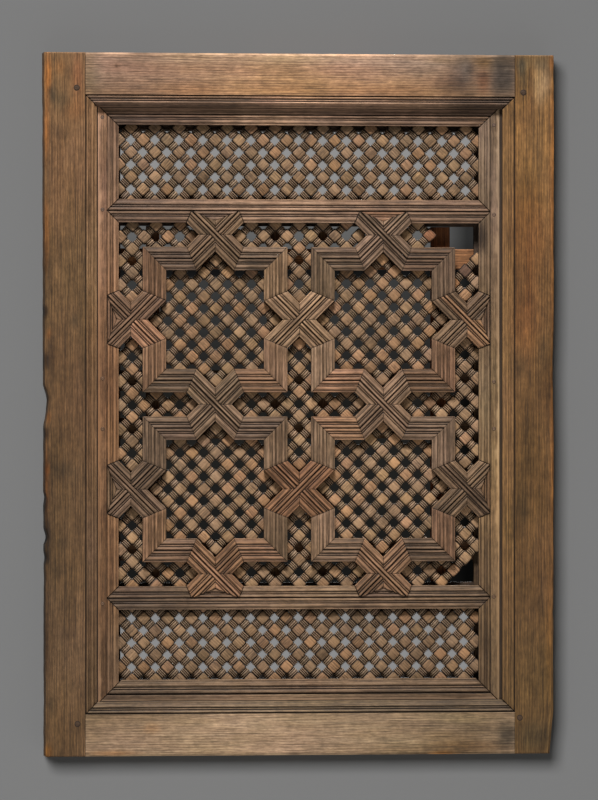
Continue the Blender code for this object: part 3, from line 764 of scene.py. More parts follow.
def whole_section(name, reach, **how):
    """A strap's section, as far as it reaches on both sides of the groove."""
    face = reeds(STRAP_FRONT, high=reach, **how)
    back = hidden((reach, STRAP_BACK), (0.0, STRAP_BACK), (-reach, STRAP_BACK))
    return profile(name, mirrored(face)[:-1] + face + back)


def side_sections(name, reach):
    """The sections left and right of a strap's middle band."""
    face = reeds(STRAP_FRONT, KERF, reach)
    left = mirrored(face) + hidden((-KERF, STRAP_BACK), (-reach, STRAP_BACK))
    right = face + hidden((reach, STRAP_BACK), (KERF, STRAP_BACK))
    return profile("left_" + name, left), profile("right_" + name, right)


strap_profile = whole_section("strap_profile", STRAP_HALF)
# The upright bars' section has shallower reeds and less grime; the fuller grime in the level bars' grooves
# is partly painted shade.
smooth_profile = whole_section("smooth_profile", STRAP_HALF, cut=0.6, grime=0.4)
middle_band = whole_section("middle_band", KERF)
left_band, right_band = side_sections("band", STRAP_HALF)
short_left, short_right = side_sections("short_band", DEEPEST)
print("points in a strap's section:", len(strap_profile.data.vertices))


# %% Bars and arms
def across(along):
    """The direction to the right of a run."""
    return Vector((along.y, -along.x))


def on_side(along, other, toward, away):
    """(left, right) slopes, where toward belongs to the side on which other lies."""
    if other.dot(across(along)) > 0:
        return away, toward
    return toward, away


def corner_bars(piece, centre, sign_x, sign_z, hues):
    """The two bars at one corner of a star."""
    corner = Vector((centre[0] + sign_x * STAR_SIDE, centre[1] + sign_z * STAR_SIDE))
    upright, level = Vector((0.0, -sign_z)), Vector((-sign_x, 0.0))
    for shape, inward, other, hue in (
        (smooth_profile, upright, level, hues[0]), (strap_profile, level, upright, hues[1]),
    ):
        end = corner + inward * (STAR_SIDE - STAR_POINT)
        mitre = on_side(inward, other, 1.0, -1.0) + on_side(inward, other, RISE, -RISE)
        piece.add(planed(shape, corner, end, mitre), hue)


def arm_end(end, along):
    """(left, right) slopes of an arm's far end, and whether it lies on the inner frame."""
    if abs(end.x) > BORDER - MM:
        return on_side(along, Vector((0.0, along.y)), -RISE, -1 / RISE), True
    if abs(end.y) > BORDER - MM:
        return on_side(along, Vector((along.x, 0.0)), -RISE, -1 / RISE), True
    off_x = end.x - math.copysign(STAR_CENTRE, end.x)
    off_z = end.y - math.copysign(STAR_CENTRE, end.y)
    if abs(off_x) > abs(off_z):
        met = Vector((0.0, math.copysign(1.0, off_z)))
    else:
        met = Vector((math.copysign(1.0, off_x), 0.0))
    return on_side(along, met, -RISE, RISE), False


def crossing_arms(piece, centre, through, hues):
    """The four arms of a crossing. through is the diagonal whose middle reeds run on, 1 for the
    rising one and -1 for the falling one, and hues has a hue for each arm, by its signs."""
    middle = Vector(centre)
    reach = STAR_POINT * math.sqrt(2)
    for sign_x in (-1, 1):
        for sign_z in (-1, 1):
            along = Vector((sign_x, sign_z)).normalized()
            end = middle + along * reach
            slopes, bordered = arm_end(end, along)
            hue = hues[(sign_x, sign_z)]
            shift = tuple(chance.uniform(0.0, LOG, 3))
            for side, whole, short in ((0, left_band, short_left), (1, right_band, short_right)):
                trimmed = bordered and slopes[side] < -1
                mitre = [1.0, 1.0, *slopes]
                piece.add(planed(short if trimmed else whole, middle, end, mitre, shift=shift), hue)
            if sign_x * sign_z != through:
                piece.add(
                    planed(middle_band, middle, end, (0, 0, *slopes), shift=shift, early=KERF), hue
                )
    along = Vector((1.0, through)).normalized()
    ends, _ = arm_end(middle + along * reach, along)
    back, _ = arm_end(middle - along * reach, -along)
    starts = (-back[1], -back[0])
    piece.add(
        planed(middle_band, middle - along * reach, middle + along * reach, (*starts, *ends)),
        hues[(1, through)],
    )


# %% Where the straps cross
RISING, FALLING = 1, -1
centres = [(x, z) for x in (-2 * STAR_CENTRE, 0.0, 2 * STAR_CENTRE) for z in (-STAR_CENTRE, STAR_CENTRE)]
centres += [(x, z) for x in (-STAR_CENTRE, STAR_CENTRE) for z in (-2 * STAR_CENTRE, 0.0, 2 * STAR_CENTRE)]
print("crossings:", len(centres))

# %% Every strap of the stars, with the diagonal that runs through it and its own tone
THROUGH = {2: RISING, 3: RISING, 4: RISING, 9: FALLING, 8: FALLING, 11: FALLING}
CROSSING_HUES = {3: (1.1, 0.88, 0.72), 7: (1.05, 0.9, 0.76), 2: (1.02, 0.94, 0.9)}
ARM_HUES = {(2, 1, -1): (1.7, 1.42, 1.3), (7, 1, -1): (1.35, 1.15, 1.05), (6, 1, -1): (1.3, 1.15, 0.95)}
CROSSING_LEVELS = {
    1: 0.75, 2: 0.9, 4: 1.45, 5: 0.85, 6: 0.78, 7: 1.12, 8: 1.15, 9: 0.92, 11: 1.2, 12: 1.12,
}
for number, centre in enumerate(centres, 1):
    base = CROSSING_HUES.get(number) or own_hue(0.06)
    base = tuple(b * CROSSING_LEVELS.get(number, 1.0) for b in base)
    hues = {}
    for sx in (-1, 1):
        for sz in (-1, 1):
            level = 1 + chance.uniform(-0.1, 0.1)
            hues[(sx, sz)] = ARM_HUES.get((number, sx, sz)) or tuple(b * level for b in base)
    piece = Piece()
    crossing_arms(piece, centre, THROUGH.get(number, FALLING), hues)
    piece.finish(
        f"crossing_{number:02d}_reeded", woods["strap"], "strap_wood", f"crossing_strap_{number:02d}"
    )
BAR_LEVELS = {
    1: (1.2, 1.0), 2: (1.0, 0.9), 3: (0.75, 1.05), 4: (1.05, 0.85), 5: (1.0, 1.05), 6: (0.88, 0.68),
    7: (1.15, 0.88), 8: (1.17, 1.0), 9: (1.2, 0.92), 10: (1.3, 1.2), 11: (0.78, 0.82), 12: (1.08, 0.95),
    13: (1.6, 1.35), 14: (1.0, 0.85), 15: (1.0, 0.7), 16: (0.85, 0.68),
}
number = 0
for centre_x in (-STAR_CENTRE, STAR_CENTRE):
    for centre_z in (-STAR_CENTRE, STAR_CENTRE):
        for sign_x in (-1, 1):
            for sign_z in (-1, 1):
                number += 1
                piece = Piece()
                bar_hues = [tuple(c * level for c in own_hue()) for level in BAR_LEVELS[number]]
                corner_bars(piece, (centre_x, centre_z), sign_x, sign_z, bar_hues)
                piece.finish(
                    f"corner_{number:02d}_reeded", woods["strap"], "strap_wood",
                    f"star_corner_{number:02d}",
                )
print("strap pieces:", len(centres) + number)

# %% [markdown]
# ## The inner frame
# Its stiles and rails carry the same reeds as the straps along every opening, and a plain band
# outside. The reeds stop wherever an arm of a crossing runs over them, and a small triangle of
# them is left between the two arms.

# %% Profiles of the inner frame
TONGUE = 0.0077
BACK_LIP, LIP_FRONT, NECK = 0.021, -0.0086, 0.0072


def edging_profile(name, wide=1.0, **how):
    """The reeds of an inner member, down to the lattice."""
    return profile(
        name,
        reeds(INNER_FRONT, wide=wide, **how)
        + hidden((STRAP_HALF * wide, STRAP_BACK), (0.0, STRAP_BACK), dirt=0.9),
    )


# The upright members get shallower reeds, less grime and more polish than the level ones: the level
# grooves' fuller grime is partly painted shade, and the polish on the upright crests partly a painted
# highlight.
edgings = {
    "left": edging_profile("worn_edging", cut=0.4, grime=0.35, polish=1.6),
    "right": edging_profile("side_edging", cut=0.5, grime=0.45, polish=1.3),
    "rail": edging_profile("rail_edging"),
    "top": edging_profile("top_edging", wide=0.88),
    "bottom": edging_profile("bottom_edging", wide=1.25),
}
triangle = profile(
    "triangle", reeds(INNER_FRONT, 0.0, DEEPEST) + hidden((DEEPEST, STRAP_BACK), (0.0, STRAP_BACK))
)


def band_profile(name, band, cut=1.0):
    """The plain band of a member with the body behind it and the groove that holds a lattice."""
    outer = -band - TONGUE
    face = [(outer, INNER_FRONT, 0.3, 0.0, 0.0)]
    # The face of the band is flat: after the dark joint at its outer edge comes a painted highlight, fading
    # out towards the groove, where dirt and painted shade lie.
    face += [(-band, INNER_FRONT, 1.0, 1.0, 1.0), (0.6 * MM - band, INNER_FRONT, 0.9, 1.0, 1.0)]
    face += [(1.6 * MM - band, INNER_FRONT, -1.1, 1.0, 1.0), (2.8 * MM - band, INNER_FRONT, -0.7, 1.0, 1.0)]
    face += [(-band * k, INNER_FRONT, 0.3 - k, 1.0, 1.0) for k in (0.6, 0.45, 0.3)]
    groove = ((-2.0, 0.0, 0.0), (-1.2, 0.3, 0.3), (-0.6, 2.0, 1.0), (0.0, 2.8, 1.0))
    face += [(d * MM, INNER_FRONT + drop * MM * cut, dirt * cut, 1.0, 1.0) for d, drop, dirt in groove]
    return profile(
        name,
        face + hidden(
            (0.0, STRAP_BACK), (NECK, STRAP_BACK), (NECK, LIP_FRONT), (BACK_LIP, LIP_FRONT),
            (BACK_LIP, 0.0), (outer, 0.0), dirt=0.5,
        ),
    )


bands = {
    "left": band_profile("worn_band", SIDE_BAND, 0.35), "right": band_profile("side_band", SIDE_BAND, 0.5),
    "rail": band_profile("end_band", END_BAND),
}
neck_profile = profile(
    "neck", hidden((-NECK, STRAP_BACK), (NECK, STRAP_BACK), (NECK, LIP_FRONT), (-NECK, LIP_FRONT))
)
rail_back = profile(
    "rail_back", hidden((-BACK_LIP, LIP_FRONT), (BACK_LIP, LIP_FRONT), (BACK_LIP, 0.0), (-BACK_LIP, 0.0))
)


# %% Edgings round an opening
TIGHT = {"worn_end": 0.0012, "worn_depth": 0.0012, "end_dirt": 1.2}


def edge_runs(piece, start, end, hue, crossed=False, kind="rail", tones=None):
    """The reeds along one side of an opening, which lies to the right of the run."""
    edging = edgings[kind]
    start, end = Vector(start), Vector(end)
    along, middle = (end - start).normalized(), (start + end) / 2
    if not crossed:
        piece.add(planed(edging, start, end, (0, 1, 0, -1), **TIGHT), hue, tones=tones)
        return
    stops = [-BORDER]
    for centre in (-STAR_CENTRE, STAR_CENTRE):
        stops += [centre - STAR_POINT, centre + STAR_POINT]
    stops.append(BORDER)
    for index, (low, high) in enumerate(zip(stops, stops[1:])):
        first, last = middle + along * low, middle + along * high
        if index % 2:
            left_over = planed(triangle, first, last, (0, 1 / RISE, 0, -1 / RISE))
            piece.add(left_over, own_hue(0.05), tones=tones)
        else:
            opening = 1 if index == 0 else RISE
            closing = -1 if index == 4 else -RISE
            piece.add(planed(edging, first, last, (0, opening, 0, closing), **TIGHT), hue, tones=tones)


NAIL_RADIUS, NAIL_PROUD, NAIL_DEPTH, NAIL_HUE = 0.0029, 0.0003, 0.002, (0.85, 0.85, 0.85)
NAIL_PLACES = {
    "left": [(-282.4, z) for z in (408.7, 277.3, 37.0, -34.9, -283.6)],
    "right": [(281.0, z) for z in (400.5, 272.0, 32.5, -34.9, -275.7)],
}

# %% Tints of the inner frame: stains, and (mm along the member, level) for its bands and its reeds, on the rails partly painted light and shade
INNER_HUE = {
    "left": (1.22, 1.07, 0.92), "right": (1.02, 1.05, 0.93), "top": (0.9, 0.9, 0.92),
    "bottom": (0.96, 1.0, 0.96), "upper": (0.95, 0.95, 0.95), "lower": (0.88, 0.92, 0.88),
}
INNER_STAINS = {
    "left": (
        (-282, 40, 60, 130, (0.99, 0.94, 0.88)), (-262, -330, 8, 90, (1.1, 1.15, 1.15)),
        (-283, -390, 60, 80, (0.94, 1.02, 1.12)),
    ),
    "right": (
        (282, -10, 60, 80, (1.06, 1.14, 1.2)), (263, 241, 8, 24, (0.3, 0.28, 0.27)),
        (278, 60, 8, 30, (0.85, 0.85, 0.85)), (272, -345, 10, 30, (0.8, 0.8, 0.82)),
        (262, 176, 6, 14, (0.7, 0.68, 0.66)),
    ),
}
# Along the rails these levels are partly painted light: brighter near the middle, painted shade towards the
# ends.
BAND_TONES_AND_PAINTED_LIGHT = {
    "left": (
        (-400, 0.75), (-250, 0.52), (-150, 0.62), (-60, 0.68), (40, 0.56), (140, 0.72), (240, 0.95),
        (400, 1.08),
    ),
    "right": (
        (-400, 0.6), (-250, 0.88), (-160, 1.2), (-60, 1.3), (40, 1.1), (140, 0.75), (240, 0.85),
        (400, 1.05),
    ),
    "top": ((-240, 0.88), (-90, 1.0), (-20, 1.05), (120, 0.9), (190, 1.0), (235, 0.5)),
    "bottom": (
        (-240, 0.64), (-150, 0.68), (-90, 0.92), (-20, 0.98), (50, 0.85), (120, 0.7), (190, 0.62),
        (235, 0.75),
    ),
}
EDGE_TONES_AND_PAINTED_LIGHT = {
    "left": (
        (-400, 0.5), (-250, 0.56), (-150, 0.78), (-60, 0.78), (40, 0.62), (140, 0.95), (240, 0.8),
        (350, 0.62),
    ),
    "right": (
        (-400, 0.5), (-250, 0.55), (-150, 0.82), (40, 0.72), (140, 0.82), (240, 0.58), (350, 0.74),
    ),
    "top": ((-250, 0.5), (-160, 0.84), (-90, 1.4), (-20, 1.5), (50, 1.0), (120, 0.92), (250, 1.0)),
    "bottom": (
        (-250, 0.6), (-90, 0.73), (-20, 0.82), (50, 0.88), (120, 0.74), (180, 0.63), (250, 0.82),
    ),
    "upper": (
        (-250, 0.52), (-160, 0.78), (-90, 1.25), (-20, 1.42), (50, 1.17), (120, 0.92), (250, 0.9),
    ),
    "under upper": ((-250, 0.66), (-160, 0.7), (-90, 1.1), (120, 1.03), (180, 1.06), (250, 0.66)),
    "lower": ((-250, 0.66), (-160, 0.83), (-90, 1.0), (-20, 1.25), (50, 1.1), (120, 0.8), (250, 0.7)),
    "under lower": (
        (-250, 0.43), (-160, 0.72), (-90, 1.0), (-20, 1.28), (50, 1.18), (180, 1.08), (250, 0.75),
    ),
}
print("tints for", sorted(INNER_HUE))

# %% Stiles of the inner frame
for side, sign in (("left", -1), ("right", 1)):
    piece = Piece()
    hue = INNER_HUE[side]
    top, bottom = (sign * BORDER, sign * SMALL_GROOVE), (sign * BORDER, -sign * SMALL_GROOVE)
    limit = END_BAND + TONGUE
    piece.add(
        planed(bands[side], top, bottom, (-1, 1, 1, -1), start_least=-limit,
               end_most=2 * SMALL_GROOVE + limit, **TIGHT),
        hue, tones=BAND_TONES_AND_PAINTED_LIGHT[side],
    )
    for low, high in ((BORDER, SMALL_GROOVE), (-BORDER, BORDER), (-SMALL_GROOVE, -BORDER)):
        first, last = (high, low) if sign > 0 else (low, high)
        start, end = (sign * BORDER, first), (sign * BORDER, last)
        edge_runs(piece, start, end, hue, low == -BORDER, side, EDGE_TONES_AND_PAINTED_LIGHT[side])
    for x, z in NAIL_PLACES[side]:
        nail = peg_mesh(NAIL_RADIUS, INNER_FRONT - NAIL_PROUD, INNER_FRONT + NAIL_DEPTH, int(z) % 97)
        piece.add((nail, Matrix.Translation((x * MM, 0.0, z * MM))), NAIL_HUE)
    piece.finish(
        f"inner_{side}_moulded_stile", woods["inner"], "inner_frame_wood", f"inner_{side}_stile",
        touch=stained(
            (sign * 282, 420, 60, 200, (1.0, 1.08, 1.22)),
            (sign * 282, -180, 60, 260, (1.0, 0.97, 0.84)),
            *INNER_STAINS[side],
        ),
    )

# %% Rails of the inner frame
for side, sign in (("top", 1), ("bottom", -1)):
    piece = Piece()
    hue = INNER_HUE[side]
    start, end = (-sign * BORDER, sign * SMALL_GROOVE), (sign * BORDER, sign * SMALL_GROOVE)
    piece.add(planed(bands["rail"], start, end, (-1, 1, 1, -1), **TIGHT), hue, tones=BAND_TONES_AND_PAINTED_LIGHT[side])
    edge_runs(piece, start, end, hue, kind=side, tones=EDGE_TONES_AND_PAINTED_LIGHT[side])
    piece.finish(
        f"inner_{side}_moulded_rail", woods["inner"], "inner_frame_wood", f"inner_{side}_rail",
        touch=stained((-200, -411, 90, 2.5, (0.66, 0.66, 0.68)), (150, -411, 80, 2.5, (0.72, 0.76, 0.76))),
    )
for side, sign in (("upper", 1), ("lower", -1)):
    piece = Piece()
    hue = INNER_HUE[side]
    height = sign * BORDER
    far = BORDER - BACK_LIP
    piece.add(planed(rail_back, (-far, height), (far, height)), hue)
    piece.add(planed(neck_profile, (NECK - BORDER, height), (BORDER - NECK, height)), hue)
    to_stars, to_lattice = ("under upper", "upper") if side == "upper" else ("lower", "under lower")
    start, end = (-sign * BORDER, height), (sign * BORDER, height)
    edge_runs(piece, start, end, hue, crossed=True, tones=EDGE_TONES_AND_PAINTED_LIGHT[to_stars])
    edge_runs(piece, end, start, hue, tones=EDGE_TONES_AND_PAINTED_LIGHT[to_lattice])
    piece.finish(
        f"{side}_moulded_cross_rail", woods["inner"], "inner_frame_wood", f"{side}_cross_rail",
        touch=stained((238, -254, 22, 3, (1.4, 1.35, 1.25)), (-225, -262, 40, 16, (0.84, 0.8, 0.8))),
    )
print("inner frame pieces: 6")

# %% [markdown]
# ## The outer frame
# Two full-height stiles hold two rails between them. Each board has a plain face and a mitred
# moulding towards the inner frame. Time has worn the outer edges out of true, so the boards are
# shaped after they leave the bench.

# %% Outer boards and their moulding
REBATE, REBATE_DEPTH = 0.008, -0.0283
SHRUNK = {"left": 0.0004, "right": 0.0026}
SEAMS = {"left": -SEAM_X - SHRUNK["left"], "right": SEAM_X + SHRUNK["right"]}


def board_profile(name, width):
    """A board's section, from its outer edge to the groove beside the moulding."""
    outer = [(-width, 0.0, 0.4, 0.0, 0.3), (-width, -0.012, 0.3, 0.0, 1.0), (-width, -0.025, 0.2, 0.0, 1.5)]
    outer += [(-width, OUTER_FRONT + 2.6 * MM, -0.2, 1.0, 2.0)]
    outer += [(-width + 0.9 * MM, OUTER_FRONT + 1.0 * MM, -0.5, 1.0, 2.0)]
    outer += [(-width + 2.8 * MM, OUTER_FRONT + 0.15 * MM, -0.3, 1.0, 1.0)]
    face = [(-width * k, OUTER_FRONT, 0.0, 1.0, 0.6) for k in np.arange(0.95, 0.01, -0.05)]
    face += [(0.0, OUTER_FRONT, 0.0, 1.0, 0.0)]
    return profile(name, outer + face + hidden((0.0, 0.0)))


def moulding_profile(name, wide=1.0, **how):
    """The moulding beside a board, with the tongue that laps over the inner frame."""
    lip = MOULDING * wide
    lap = lip - REBATE
    return profile(
        name,
        reeds(OUTER_FRONT, table=OUTER_REEDS, wide=wide, seam=2.0, **how)
        + hidden((lip, REBATE_DEPTH), (lap, REBATE_DEPTH), (lap, 0.0), (0.0, 0.0)),
    )


# The stiles' mouldings get less grime and more polish than the rail's: the rail's fuller grime is partly
# painted shade, and the polish on the stiles' crests and lips partly a painted highlight.
mouldings = {
    "rail": moulding_profile("rail_moulding"),
    "left": moulding_profile("left_moulding", wide=0.94, cut=0.8, grime=0.5, polish=1.5),
    "right": moulding_profile("right_moulding", cut=0.45, grime=0.4, polish=1.2),
}

# %% Fading and wear of the outer boards: levels along them, partly painted light and shade on the rails, edges as (height, reach), and nicks
MOULDING_HUE = {"left": (1.12, 1.14, 1.26), "right": (1.24, 1.30, 1.42)}
# Along the rails these levels are partly painted light: brighter near the middle, painted shade towards the
# ends.
BOARD_TONES_AND_PAINTED_LIGHT = {
    "left": ((-350, 0.9), (-260, 1.12), (-160, 0.9), (40, 0.88), (140, 1.05), (400, 1.07)),
    "right": ((-350, 0.95), (40, 0.92), (140, 1.05), (250, 1.05), (350, 1.4), (450, 1.4)),
    "top": (
        (-300, 0.82), (-240, 0.8), (-160, 0.95), (-90, 1.22), (-20, 1.55), (50, 1.12), (120, 0.97),
        (180, 0.93), (230, 0.73), (300, 0.7),
    ),
    "bottom": ((-240, 1.03), (-160, 1.2), (-90, 1.2), (120, 1.05), (180, 0.95), (230, 0.85)),
}
MOULDING_TONES_AND_PAINTED_LIGHT = {
    "left": ((-350, 0.93), (-150, 1.0), (-60, 1.3), (40, 1.1), (140, 1.6), (240, 1.4), (350, 1.2)),
    "right": ((-350, 0.88), (-260, 0.93), (-160, 1.22), (40, 1.05), (350, 0.95)),
    "top": (
        (-260, 0.5), (-230, 0.57), (-90, 0.52), (-20, 1.22), (50, 1.05), (120, 1.03), (180, 0.85),
        (235, 0.3),
    ),
    "bottom": ((-240, 0.46), (-160, 0.6), (-20, 0.68), (50, 0.57), (120, 0.5), (180, 0.37), (235, 0.4)),
}
STILE_EDGES = {
    "left": ((-0.5005, 0.3645), (-0.25, 0.3645), (0.05, 0.3655), (0.5005, 0.3665)),
    "right": (
        (-0.5005, 0.3605), (-0.47, 0.363), (-0.44, 0.3662), (-0.05, 0.3667), (0.054, 0.3655),
        (0.13, 0.367), (0.5005, 0.367),
    ),
}
NICKS = {
    "left": (
        (0.006, 0.022, 0.036, 0.0048), (-0.132, 0.008, 0.01, 0.0015), (-0.189, 0.012, 0.01, 0.003),
        (-0.218, 0.008, 0.008, 0.0012),
    ),
    "right": ((0.222, 0.006, 0.01, 0.0008), (-0.3, 0.01, 0.006, 0.001)),
}
EDGE_WEAR = 0.0008


def waver(values, seed, *lengths):
    """A smooth random line between 0 and 1 along a stick, of the given wave lengths."""
    draw = np.random.default_rng(seed)
    total = sum(np.sin(values * 2 * math.pi / w + draw.uniform(0, 6.3)) for w in lengths)
    return 0.5 + 0.5 * total / len(lengths)


def worn_stile(side, sign, nominal):
    """Shapes a stile's board: its leaning outer edge, its worn hollows and its nicks, each with its
    middle, its reach above and below, and its depth."""
    heights, reaches = zip(*STILE_EDGES[side])
    seam = abs(SEAMS[side])

    def shape(points):
        """Moves the points near the outer edge."""
        x, z = points[:, 0] * sign, points[:, 2]
        share = np.clip((x - seam) / (nominal - seam), 0, 1)
        edge = np.interp(z, heights, reaches)
        wear = EDGE_WEAR * waver(z, 3 + sign, 0.31, 0.083, 0.029) * (0.4 + waver(z, 9 + sign, 0.21))
        for middle, above, below, depth in NICKS[side]:
            away = np.where(z > middle, (z - middle) / above, (middle - z) / below)
            wear += depth * np.clip(1 - away**1.4, 0, 1)
        x = x + (edge - nominal) * share - wear * share**8
        points[:, 0] = x * sign
        return points

    return shape


print("faded along:", sorted(BOARD_TONES_AND_PAINTED_LIGHT))

# %% Stains of the outer boards
RAIL_HUE = {"top": (1.0, 1.0, 1.0), "bottom": (0.95, 1.06, 1.02)}
LOOSE_PLANING = {"wander": 0.00025, "wander_length": 0.06, "pitch": 0.004}
OUTER_STAINS = {
    "left": (
        (-336, 420, 75, 200, (1.26, 1.18, 1.12)), (-361, 465, 5, 34, (1.6, 1.1, 0.6)),
        (-356, 442, 7, 14, (0.5, 0.6, 0.74)), (-340, 432, 14, 14, (0.7, 0.78, 0.84)),
        (-345, 480, 8, 12, (1.15, 1.0, 0.85)), (-348, 387, 10, 16, (0.8, 0.8, 0.82)),
        (-319, 468, 8, 28, (1.12, 0.92, 0.85)), (-324, 422, 15, 18, (1.15, 1.02, 0.9)),
        (-363, 390, 4, 40, (1.4, 1.05, 0.7)), (-363, 243, 4, 50, (1.4, 1.05, 0.7)),
        (-348, 188, 10, 16, (1.14, 1.14, 1.16)), (-322, 120, 6, 10, (0.7, 0.75, 0.8)),
        (-356, 73, 6, 42, (0.6, 0.58, 0.58)), (-340, -94, 22, 12, (0.7, 0.74, 0.78)),
        (-363, -110, 4, 50, (1.15, 0.85, 0.6)), (-362, -185, 5, 24, (0.4, 0.38, 0.38)),
        (-340, -196, 10, 9, (0.72, 0.74, 0.76)), (-345, -236, 10, 10, (0.68, 0.7, 0.72)),
        (-335, -325, 14, 9, (0.82, 0.82, 0.84)), (-335, -455, 40, 60, (1.12, 1.1, 1.0)),
        (-318, -462, 6, 8, (0.8, 0.8, 0.8)), (-356, -428, 5, 12, (0.6, 0.62, 0.62)),
        (-361, -495, 6, 12, (1.5, 1.15, 0.6)), (-362, -300, 4, 110, (0.62, 0.6, 0.62)),
        (-335, 10, 60, 150, (1.0, 0.93, 0.86)), (-364, 132, 3, 9, (0.35, 0.33, 0.33)),
        (-363, 62, 3, 12, (0.4, 0.38, 0.38)), (-364, 8, 3, 10, (0.38, 0.36, 0.36)),
        (-363, -42, 4, 8, (0.4, 0.38, 0.4)), (-364, -142, 3, 12, (0.36, 0.34, 0.34)),
        (-362, -218, 4, 10, (0.4, 0.4, 0.42)), (-360, 100, 3, 8, (1.45, 1.1, 0.75)),
        (-360, -18, 3, 9, (1.4, 1.08, 0.75)), (-361, -92, 3, 8, (1.45, 1.1, 0.72)),
    ),
    "right": (
        (340, 420, 75, 200, (1.16, 1.13, 1.1)), (347, 460, 11, 28, (1.7, 2.1, 3.0)),
        (363, 490, 4, 10, (1.5, 1.1, 0.75)), (319, 484, 7, 14, (0.7, 0.86, 1.15)),
        (322, 470, 9, 26, (0.55, 0.64, 0.78)), (345, 492, 40, 12, (0.72, 0.84, 1.02)),
        (360, 470, 8, 24, (0.8, 0.88, 1.0)), (340, 375, 10, 60, (1.1, 1.15, 1.25)),
        (334, 440, 4, 45, (0.85, 0.8, 0.78)), (320, 375, 8, 28, (1.15, 1.15, 1.15)),
        (330, 240, 24, 85, (1.12, 0.96, 0.78)), (326, 115, 22, 50, (1.1, 0.94, 0.8)),
        (350, 75, 8, 30, (0.76, 0.8, 0.86)), (318, 54, 9, 16, (0.7, 0.73, 0.74)),
        (352, -150, 14, 26, (0.84, 0.84, 0.8)), (332, -250, 12, 20, (0.86, 0.86, 0.84)),
        (357, 20, 9, 60, (0.85, 0.8, 0.76)), (330, 180, 5, 60, (0.86, 0.8, 0.74)),
        (312, 200, 4, 140, (0.9, 0.85, 0.8)), (338, -420, 40, 110, (0.92, 1.0, 0.97)),
        (365, -60, 4, 150, (1.5, 1.28, 1.0)), (365, 300, 4, 190, (1.3, 1.1, 0.85)),
        (322, -147, 9, 26, (0.72, 0.76, 0.78)), (348, -287, 9, 14, (0.8, 0.82, 0.84)),
        (338, -476, 30, 24, (0.6, 0.68, 0.78)), (360, -330, 5, 90, (1.25, 1.15, 0.95)),
    ),
    "top": (
        (-300, 472, 18, 34, (0.84, 0.92, 0.92)), (-263, 500, 17, 3, (1.5, 1.5, 1.5)),
        (-263, 481, 4, 4, (0.6, 0.55, 0.5)), (75, 499, 34, 4, (1.4, 1.36, 1.3)),
        (172, 482, 60, 12, (0.95, 1.02, 1.14)), (30, 456, 200, 14, (1.12, 1.02, 0.86)),
        (222, 458, 28, 15, (0.66, 0.64, 0.66)), (246, 482, 7, 10, (0.6, 0.6, 0.64)),
        (264, 490, 12, 8, (0.85, 0.76, 0.55)), (264, 462, 9, 18, (0.76, 0.6, 0.52)),
        (294, 470, 17, 34, (0.42, 0.5, 0.6)), (-60, 478, 190, 10, (1.02, 0.95, 0.92)),
        (232, 474, 14, 26, (0.72, 0.78, 0.88)), (-20, 492, 300, 8, (1.08, 1.13, 1.2)),
        (0, 444, 330, 9, (1.0, 0.93, 0.8)), (-310, 470, 16, 40, (0.9, 0.88, 0.76)),
        (-160, 446, 40, 12, (1.22, 1.14, 1.04)), (150, 446, 50, 12, (0.8, 0.76, 0.7)),
        (-232, 492, 30, 10, (0.84, 0.83, 0.82)), (283, 472, 9, 34, (0.78, 0.84, 0.94)),
        (303, 468, 9, 34, (0.95, 1.0, 1.06)), (240, 478, 8, 20, (0.92, 1.02, 1.12)),
    ),
    "bottom": (
        (-213, -461, 12, 8, (1.1, 0.98, 0.85)), (-270, -496, 36, 4, (1.0, 0.82, 0.62)),
        (240, -490, 60, 9, (0.78, 0.68, 0.55)), (298, -474, 15, 22, (0.5, 0.54, 0.58)),
        (205, -500, 20, 4, (1.6, 1.1, 0.55)), (-300, -475, 20, 25, (0.86, 0.86, 0.84)),
        (150, -495, 110, 8, (0.8, 0.78, 0.74)), (215, -477, 45, 11, (0.82, 0.78, 0.68)),
        (225, -450, 60, 8, (1.16, 1.2, 1.12)),
    ),
}
print("stains:", {side: len(stains) for side, stains in OUTER_STAINS.items()})

# %% The four outer boards
for side, sign in (("left", -1), ("right", 1)):
    piece = Piece()
    seam = SEAMS[side]
    nominal = max(reach for _, reach in STILE_EDGES[side])
    shape = board_profile(side + "_board", nominal - abs(seam))
    start, end = (seam, sign * HALF_HEIGHT), (seam, -sign * HALF_HEIGHT)
    board = planed(shape, start, end, worn_end=0.0015, worn_depth=0.0012, end_dirt=0.0, **LOOSE_PLANING)
    piece.add(board, shape=worn_stile(side, sign, nominal), tones=BOARD_TONES_AND_PAINTED_LIGHT[side])
    start, end = (seam, sign * SEAM_Z), (seam, -sign * SEAM_Z)
    moulding = planed(mouldings[side], start, end, (0, 1, 0, -1), **TIGHT)
    piece.add(moulding, MOULDING_HUE[side], tones=MOULDING_TONES_AND_PAINTED_LIGHT[side])
    piece.finish(
        f"{side}_moulded_stile", woods[side + "_stile"], "outer_frame_wood", f"{side}_stile",
        touch=stained(*OUTER_STAINS[side]),
    )
rail_profile = board_profile("rail_board", HALF_HEIGHT - SEAM_Z)
for side, sign in (("top", 1), ("bottom", -1)):
    piece = Piece()
    first, last = SEAMS["left" if sign > 0 else "right"], SEAMS["right" if sign > 0 else "left"]
    start, end = (first, sign * SEAM_Z), (last, sign * SEAM_Z)
    board = planed(
        rail_profile, start, end, worn_end=0.0010, worn_depth=0.0010, end_dirt=1.1, **LOOSE_PLANING
    )
    piece.add(board, RAIL_HUE[side], tones=BOARD_TONES_AND_PAINTED_LIGHT[side])
    moulding = planed(mouldings["rail"], start, end, (0, 1, 0, -1), **TIGHT)
    piece.add(moulding, RAIL_HUE[side], tones=MOULDING_TONES_AND_PAINTED_LIGHT[side])
    piece.finish(
        f"{side}_moulded_rail", woods["rail"], "outer_frame_wood", f"{side}_rail",
        touch=stained(*OUTER_STAINS[side]),
    )
print("outer boards: 4")

